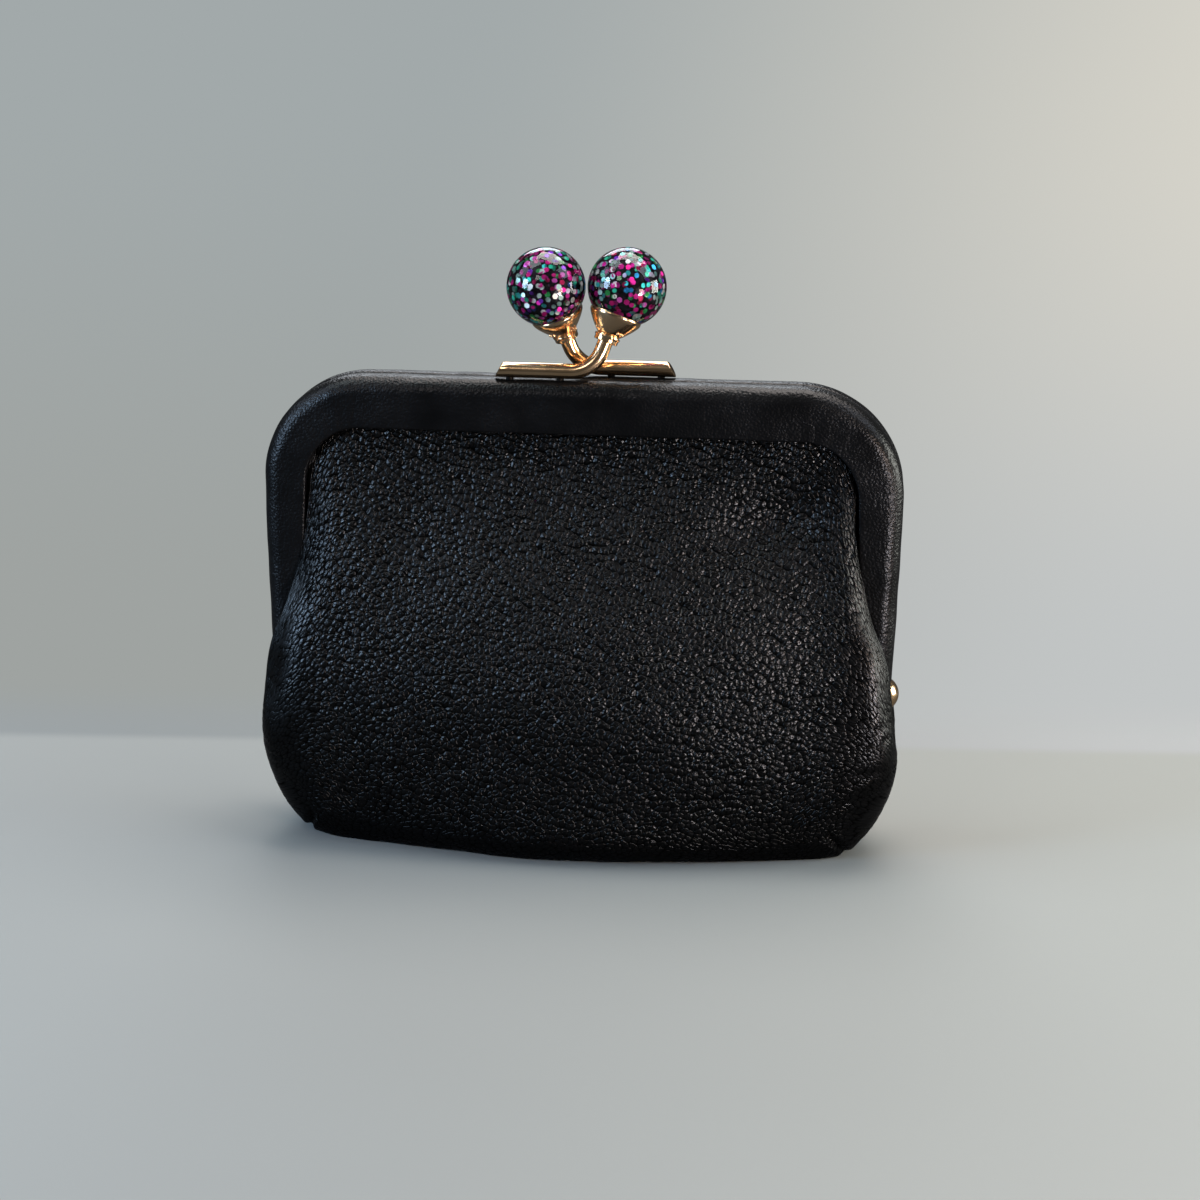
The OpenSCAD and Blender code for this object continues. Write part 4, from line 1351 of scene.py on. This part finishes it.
@dataclass
class Clasp:
    """One half of the kiss lock: bar, bend and stem, bell cap, and the ball with its flakes.

    Attributes:
        bar_q: distance of the bar from the plane y = 0.
        bar_lift: gap between the bar and the top of the frame.
        bar_reach: distance of the bar's free end from the middle.
        end_slant: slant of the free end, in degrees.
        bend_angle: turn of the bar's bend, in degrees.
        stem_lean: how far the stem leans to the other half, in degrees.
        knob_pitch: distance between the two balls.
        shift: how far the clasp stands right of the middle.
        cap_drop: distance of the cap's rim below the middle of the ball.
        flake_depths: least and greatest distance of a flake from the middle of the ball.
        foil_shade: how dark the foil is under the resin.
    """

    half: Half
    frame_top: float = 92.0
    bar_d: float = 2.9
    bar_q: float = 2.5
    bar_lift: float = 0.2
    bar_reach: float = 17.0
    end_slant: float = 28.0
    end_bevel: float = 0.28
    bend_r: float = 6.2
    bend_angle: float = 70.0
    stem_lean: float = 13.0
    stem_len: float = 12.7
    knob_pitch: float = 15.0
    shift: float = 0.5
    ball_d: float = 14.8
    core_d: float = 12.4
    cap_rim_r: float = 5.0
    cap_drop: float = 6.4
    cap_h: float = 3.2
    collar_r: float = 2.3
    collar_h: float = 1.4
    bead_r: float = 0.27
    flake_t: float = 0.04
    flake_depths: tuple[float, float] = (6.32, 7.0)
    foil_shade: float = 0.62

    def __post_init__(self) -> None:
        """Works out the plane of the bar: its start, its upward direction and the direction of its stem."""
        lean, bend = math.radians(self.stem_lean), math.radians(self.bend_angle)
        self.up = np.array([0.0, math.sin(lean), math.cos(lean)])
        self.across = np.array([0.0, math.cos(lean), -math.sin(lean)])
        self.along = np.array([1.0, 0.0, 0.0])
        bend_x = self.knob_pitch / 2 - self.bend_r * math.sin(bend) - self.stem_len * math.cos(bend)
        self.bend_at = np.array([bend_x, -self.bar_q, self.frame_top + self.bar_lift + self.bar_d / 2])
        bent = math.sin(bend) * self.along + (1 - math.cos(bend)) * self.up
        self.stem_at = self.bend_at + self.bend_r * bent
        self.stem = math.cos(bend) * self.along + math.sin(bend) * self.up
        self.ball = self.stem_at + self.stem_len * self.stem

    def put(self, points: np.ndarray) -> np.ndarray:
        """Carries points of the front half to where this half has them.

        Args:
            points: points of the front half.

        Returns:
            The points, turned half round for the rear, and shifted with the whole clasp.
        """
        points = points.reshape(-1, 3).copy()
        if self.half is Half.REAR:
            points[:, :2] *= -1
        points[:, 0] += self.shift
        return points

    def build_bar(self, gold: bpy.types.Material) -> bpy.types.Object:
        """A round rod along a straight line, an arc and a straight line, in one leaning plane.

        A ring is centre + r (cos a n + sin a b), where b is square to the plane. The rings of the free end
        are sheared to its slant, and its edge is bevelled.

        Args:
            gold: material of the bar.

        Returns:
            The piece.
        """
        r, bend = self.bar_d / 2, math.radians(self.bend_angle)
        start = self.bend_at.copy()
        start[0] = -self.bar_reach
        slope = math.tan(math.radians(self.end_slant))
        x = np.array([0.0, 0.0, 0.0, self.end_bevel * 0.4, self.end_bevel, 2.6, 3.2])
        radius = np.array([0.3 * r, 0.62 * r, r - self.end_bevel, 0.975 * r, r, r, r])
        shear = np.array([1.0, 1.0, 1.0, 1.0, 1.0, 0.0, 0.0])
        straight_x = np.linspace(4.5, self.bend_at[0] - start[0], 10, endpoint=False)
        turn = np.linspace(0, bend, 26)
        stem_s = np.linspace(0, self.stem_len - self.cap_drop - 1.0, 10)[1:]
        bent = np.sin(turn)[:, None] * self.along + (1 - np.cos(turn))[:, None] * self.up
        centres = np.concatenate([
            start + x[:, None] * self.along, start + straight_x[:, None] * self.along,
            self.bend_at + self.bend_r * bent, self.stem_at + stem_s[:, None] * self.stem])
        angle = np.concatenate([np.zeros(len(x) + len(straight_x)), turn, np.full(len(stem_s), bend)])
        ring_n = -np.sin(angle)[:, None] * self.along + np.cos(angle)[:, None] * self.up
        radius = np.concatenate([radius, np.full(len(centres) - len(x), r)])
        shear = np.concatenate([shear, np.zeros(len(centres) - len(x))])
        around = 48
        a = np.linspace(0, 2 * np.pi, around, endpoint=False)
        rings = centres[:, None] + radius[:, None, None] * (
            np.cos(a)[None, :, None] * ring_n[:, None] + np.sin(a)[None, :, None] * self.across)
        rings[..., 0] += shear[:, None] * slope * (rings[..., 2] - (start[2] - r))
        m = len(centres)
        faces = grid_quads(m, around, wrap_cols=True).tolist()
        faces += [list(range(around)), list(range(m * around - 1, (m - 1) * around - 1, -1))]
        node = f"{self.half.prefix}_clasp_bar"
        piece = make_piece(f"{node}_rod", self.put(rings), faces, gold, self.half.body, 45)
        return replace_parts(piece, node)

    def build_cap(self, gold: bpy.types.Material) -> bpy.types.Object:
        """A turned bell: thin lip at the rim, slightly domed cone, neck, and a collar with rounded edges.

        Three small beads stand at each quarter where the cone meets the neck.

        Args:
            gold: material of the cap.

        Returns:
            The piece.
        """
        d, rim, neck = self.cap_drop, self.cap_rim_r, self.collar_r
        low = d + self.cap_h
        foot = low + self.collar_h
        profile = rounded_profile([
            (0, -d + 0.9, 0), (3.0, -d + 0.2, 0), (rim - 0.4, -d + 0.75, 0.1), (rim - 0.1, -d + 0.95, 0.1),
            (rim + 0.05, -d + 0.6, 0.15), (rim - 0.1, -d + 0.05, 0.3), (rim - 0.95, -d - 1.2, 1.0),
            (neck + 0.35, -low + 0.45, 0.7), (neck - 0.2, -low + 0.02, 0.12), (neck + 0.12, -low - 0.1, 0.1),
            (neck + 0.2, -low - 0.4, 0.15), (neck, -low - 0.66, 0.12), (neck, 0.1 - foot, 0.08),
            (neck - 0.15, -foot, 0.05), (self.bar_d / 2 - 0.1, -foot - 0.05, 0.0), (0, 0.1 - foot, 0)])
        points, faces = lathe(profile, self.ball, self.stem, 72)
        beads, bead_faces = [], []
        count = len(points)
        e1 = np.cross(self.stem, [0.0, 1.0, 0.0])
        e1 /= np.linalg.norm(e1)
        e2 = np.cross(self.stem, e1)
        b = np.linspace(0, np.pi, 9)
        bead = np.stack([self.bead_r * np.sin(b), -self.bead_r * np.cos(b)], -1)
        bead_out, bead_up, apart = neck + 0.72, 0.8 - low, 12
        for k in range(12):
            a = math.radians(45 + 90 * (k // 3) + apart * (k % 3 - 1))
            out = math.cos(a) * e1 + math.sin(a) * e2
            centre = self.ball + bead_out * out + bead_up * self.stem
            ball, ball_faces = lathe(bead, centre, out, 12)
            beads.append(ball)
            bead_faces += [[count + i for i in f] for f in ball_faces]
            count += len(ball)
        points = np.concatenate([points, *beads])
        node = f"{self.half.prefix}_knob_cap"
        piece = make_piece(f"{node}_bell", self.put(points), faces + bead_faces, gold, self.half.body,
                           60)
        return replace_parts(piece, node)

    def build_ball(self, resin: bpy.types.Material, core: bpy.types.Material) -> list[bpy.types.Object]:
        """The cast ball and its dark heart: two spheres, r = R sin a and h = -R cos a turned about the stem.

        Args:
            resin: material of the ball.
            core: material of its heart.

        Returns:
            Both pieces.
        """
        pieces = []
        for part, word, diameter, material, slot, n in (
                ("knob_shell", "ball", self.ball_d, resin, "clear_resin", 64),
                ("knob_core", "heart", self.core_d, core, "knob_core", 40)):
            a = np.linspace(0, np.pi, n)
            profile = diameter / 2 * np.stack([np.sin(a), -np.cos(a)], -1)
            points, faces = lathe(profile, self.ball, self.stem, 2 * n)
            node = f"{self.half.prefix}_{part}"
            piece = make_piece(f"{node}_{word}", self.put(points), faces, material, self.half.body, 80)
            pieces.append(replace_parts(piece, node))
        return pieces

    def build_flakes(self, foil: bpy.types.Material, seed: int, count: int = 520,
                     across: float = 1.04) -> bpy.types.Object:
        """Hexagonal foil flakes cast into the resin between its heart and its face.

        Centres follow a spiral over the sphere with a random shift, at random depths; each flake is a thin
        six-sided prism that tips a little off the sphere, and has one of a few foil colours.

        Args:
            foil: material of the flakes.
            seed: seed of the random places.
            count: number of flakes.
            across: size of a flake from corner to corner.

        Returns:
            The piece.
        """
        rng = np.random.default_rng(seed)
        i = np.arange(count) + 0.5
        polar = np.arccos(1 - 2 * i / count) + rng.normal(0, 0.06, count)
        turn = np.pi * (1 + 5**0.5) * i + rng.normal(0, 0.1, count)
        out = np.stack([np.sin(polar) * np.cos(turn), np.sin(polar) * np.sin(turn), np.cos(polar)], -1)
        depth = rng.uniform(*self.flake_depths, count)
        tipped = out + rng.normal(0, 0.24, (count, 3))
        tipped /= np.linalg.norm(tipped, axis=1, keepdims=True)
        e1 = np.cross(tipped, rng.normal(size=(count, 3)))
        e1 /= np.linalg.norm(e1, axis=1, keepdims=True)
        e2 = np.cross(tipped, e1)
        a = np.radians(60 * np.arange(6))
        size = across / 2 * rng.uniform(0.85, 1.12, count)[:, None, None]
        rim = size * (np.cos(a)[None, :, None] * e1[:, None] + np.sin(a)[None, :, None] * e2[:, None])
        centre = (self.ball + out * depth[:, None])[:, None]
        half_t = self.flake_t / 2
        layers = np.stack([centre + rim + tipped[:, None] * h for h in (-half_t, half_t)], 1)
        points = layers.reshape(-1, 3)
        base = 12 * np.arange(count)[:, None]
        j = np.arange(6)
        side = np.stack([j, (j + 1) % 6, 6 + (j + 1) % 6, 6 + j], -1)
        faces = (base + j[::-1]).tolist() + (base + 6 + j).tolist()
        faces += (base[:, :, None] + side[None]).reshape(-1, 4).tolist()
        name = f"{self.half.prefix}_knob_flakes"
        piece = make_piece(name, self.put(points), faces, foil, self.half.body, 20)
        tints = np.array([hex_colour(c) for c in (
            "e0249a", "c4157c", "a5104e", "25b08c", "3cc9c4", "b9dccf", "edf3ee", "2fa455", "8a35cf",
            "ea62cc", "2f9ad6", "24377a", "86c3b4", "d8d0e6")])
        odds = np.array([12, 9, 8, 9, 9, 13, 8, 5, 5, 5, 4, 3, 7, 3], float)
        tints[:, :3] *= self.foil_shade
        pick = rng.choice(len(tints), count, p=odds / odds.sum())
        colour = np.repeat(tints[pick], 12, axis=0).astype(np.float32)
        attribute = piece.data.attributes.new("tint", "FLOAT_COLOR", "POINT")
        attribute.data.foreach_set("color", colour.ravel())
        return piece


@dataclass
class HingeRivet:
    """A hinge rivet: domed head outside, shank through both ears, flat head inside."""

    side: int
    hinge_z: float = 32.0
    inner_x: float = 57.15
    dome_x: float = 60.0
    shank_r: float = 1.0
    dome_r: float = 3.1
    dome_h: float = 1.9
    inner_r: float = 1.8
    inner_t: float = 0.6

    def build(self, gold: bpy.types.Material) -> bpy.types.Object:
        """Turns the profile of the rivet about the hinge axis; the dome is the cap of a sphere.

        Args:
            gold: material of the rivet.

        Returns:
            The piece.
        """
        big = (self.dome_r**2 + self.dome_h**2) / (2 * self.dome_h)
        a = np.linspace(math.asin(self.dome_r / big), 0, 14)
        dome = np.stack([big * np.sin(a), self.dome_x + self.dome_h - big + big * np.cos(a)], -1)
        x = self.inner_x
        stem = rounded_profile([(0, x - self.inner_t, 0), (self.inner_r, x - self.inner_t, 0.2),
                                (self.inner_r, x, 0.1), (self.shank_r, x, 0), (self.shank_r, self.dome_x, 0),
                                (self.dome_r - 0.15, self.dome_x, 0)], 4)
        profile = np.concatenate([stem, dome])
        points, faces = lathe(profile, np.array([0, 0, self.hinge_z]), np.array([1.0, 0, 0]), 64)
        points[:, 0] *= self.side
        node = "right_hinge_rivet" if self.side > 0 else "left_hinge_rivet"
        piece = make_piece(f"{node}_dome", points, faces, gold, Half.REAR.body, 50)
        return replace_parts(piece, node)


# Room


@dataclass
class Studio:
    """Pale table, paler wall, soft lamps and the camera of the photograph.

    Angles are in degrees, and distance and target in millimetres; the focal length is in pixels of the image.
    """

    azimuth: float = 5.7
    elevation: float = 16.0
    roll: float = 0.67
    distance: float = TableTop.distance
    focal: float = 2400.0
    image: float = 1200.0
    target: tuple[float, float, float] = (3.69, 0.0, 48.54)
    table_reach: float = 6.0

    def build_camera(self) -> None:
        """Stands the camera on the sphere round the target, looks at it and rolls the image."""
        az, el, roll = (math.radians(v) for v in (self.azimuth, self.elevation, self.roll))
        back = Vector((math.sin(az) * math.cos(el), -math.cos(az) * math.cos(el), math.sin(el)))
        right = (-back).cross(Vector((0, 0, 1))).normalized()
        up = right.cross(-back)
        x = math.cos(roll) * right + math.sin(roll) * up
        y = -math.sin(roll) * right + math.cos(roll) * up
        data = bpy.data.cameras.new("camera")
        data.sensor_width = 36.0
        data.lens = self.focal / self.image * data.sensor_width
        data.clip_start, data.clip_end = 0.02, 50.0
        camera = bpy.data.objects.new("camera", data)
        at = (Vector(self.target) + back * self.distance) * MM
        camera.matrix_world = Matrix([[x[i], y[i], back[i], at[i]] for i in range(3)] + [[0, 0, 0, 1]])
        bpy.context.scene.collection.objects.link(camera)
        bpy.context.scene.camera = camera

    def build_floor(self) -> None:
        """Lays one wide plane under the purse."""
        mesh = bpy.data.meshes.new("table")
        r = self.table_reach
        mesh.from_pydata([(-r, -r, 0), (r, -r, 0), (r, r, 0), (-r, r, 0)], [], [(0, 1, 2, 3)])
        mesh.materials.append(TableTop(distance=self.distance).build())
        floor = bpy.data.objects.new("table", mesh)
        bpy.context.scene.collection.objects.link(floor)

    def build_lamp(self, name: str, at: tuple[float, float, float], size: tuple[float, float], watts: float,
                   colour: str) -> None:
        """Hangs a soft rectangular lamp that faces the purse.

        Args:
            name: name of the lamp.
            at: its place, in metres.
            size: its width and height, in metres.
            watts: its power.
            colour: its light.
        """
        data = bpy.data.lights.new(name, "AREA")
        data.shape, data.size, data.size_y = "RECTANGLE", *size
        data.energy, data.color = watts, hex_colour(colour)[:3]
        lamp = bpy.data.objects.new(name, data)
        lamp.location = at
        lamp.visible_camera = False
        lamp.rotation_euler = (Vector((0, 0, 0.05)) - Vector(at)).to_track_quat("-Z", "Y").to_euler()
        bpy.context.scene.collection.objects.link(lamp)

    def build_light(self) -> None:
        """Lights the table as the photograph's room does.

        A cool window stands on the left and a warm and a bright one on the right. A soft ceiling and roof
        lights shine from above, another window from behind and a faint card from the front. The room itself
        is dim, but the camera sees it bright.
        """
        self.build_lamp("window", (-0.42, -0.26, 0.2), (0.15, 0.2), 2.3, "bcdcff")
        self.build_lamp("high_window", (-0.18, -0.45, 0.42), (0.12, 0.12), 0.25, "fff4f0")
        self.build_lamp("warm_window", (0.34, -0.3, 0.06), (0.12, 0.12), 0.7, "ffd8b8")
        self.build_lamp("low_window", (0.26, -0.26, 0.03), (0.08, 0.06), 0.8, "f2f3ff")
        self.build_lamp("side_window", (0.45, 0.03, 0.12), (0.2, 0.2), 1.8, "fdfff6")
        self.build_lamp("ceiling", (0.1, 0.22, 0.9), (0.8, 0.5), 10.5, "fff6f1")
        self.build_lamp("left_sky", (-0.75, -0.1, 0.6), (0.4, 0.4), 1.5, "dde8ff")
        self.build_lamp("left_roof", (-0.3, -0.05, 0.7), (0.3, 0.3), 1.5, "e2f2f6")
        self.build_lamp("right_roof", (0.45, -0.1, 0.5), (0.3, 0.3), 1.1, "e4ecff")
        self.build_lamp("back_window", (-0.15, 0.75, 0.55), (0.5, 0.35), 3.0, "eef4fb")
        self.build_lamp("front_card", (0.0, -0.9, 0.95), (1.3, 0.6), 0.15, "ffffff")
        world = bpy.data.worlds.new("room")
        bpy.context.scene.world = world
        world.use_nodes = True
        world.node_tree.nodes.clear()
        graph = Graph(world.node_tree)
        seen = graph.add("Background", {"Color": "c2c6c6", "Strength": 1.0})
        lit = graph.add("Background", {"Color": "d5dadd", "Strength": 0.1})
        both = graph.add("MixShader", {0: graph.seen(), 1: lit, 2: seen})
        graph.fill(world.node_tree.nodes.new("ShaderNodeOutputWorld"), {"Surface": both})
        bpy.context.scene.view_settings.view_transform = "Standard"


def dress_hidden_nodes(steel: bpy.types.Material, black: bpy.types.Material,
                       padding: bpy.types.Material, paper: bpy.types.Material) -> None:
    """Gives the parts that keep their own shape a finish.

    Args:
        steel: finish of the channels.
        black: finish of the bar posts, painted near black as a painted shade under the bars.
        padding: finish of the padding.
        paper: finish of the paper cords.
    """
    finishes = {"frame_channel": steel, "bar_posts": black, "frame_padding": padding, "paper_cord": paper}
    for half in Half:
        for part, material in finishes.items():
            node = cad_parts[f"{half.prefix}_{part}"]
            node.data.materials.clear()
            node.data.materials.append(material)
            log.info("%-24s dressed", node.name)


def main() -> None:
    """Builds the room, then the purse from the frame inwards, and reports each piece."""
    studio = Studio()
    studio.build_camera()
    studio.build_floor()
    studio.build_light()

    pebbled, smooth, cloth = PebbledLeather().build(), SmoothLeather().build(), WovenCloth().build()
    gold = PlatedMetal("polished_rose_gold", "f3c896", 0.17, 0.0015).build()
    steel = PlatedMetal("satin_gilt_steel", "7d5f3a", 0.4, 0.01, "97754a").build()
    # The bar posts are painted near black, a painted shade, so they read as the dark gap under the bars.
    black = PlatedMetal("painted_shade_steel", "141210", 0.5, 0.01, "1f1c19").build()
    resin, core, foil = CastResin().build(), DarkCore().build(), GlitterFoil().build()
    padding = FibreBoard("felted_wadding", "8d8a86", 0.3).build()
    paper = FibreBoard("twisted_paper", "b89a6c", 0.6).build()
    dress_hidden_nodes(steel, black, padding, paper)

    path = FramePath()
    for half in Half:
        FrameCover(half, path).build(smooth)
        Pouch(half, path).build(pebbled, cloth)
        clasp = Clasp(half)
        clasp.build_bar(gold)
        clasp.build_cap(gold)
        clasp.build_ball(resin, core)
        clasp.build_flakes(foil, 41 if half is Half.FRONT else 42)
    for side in (-1, 1):
        HingeRivet(side).build(gold)


if __name__ == "__main__":
    main()
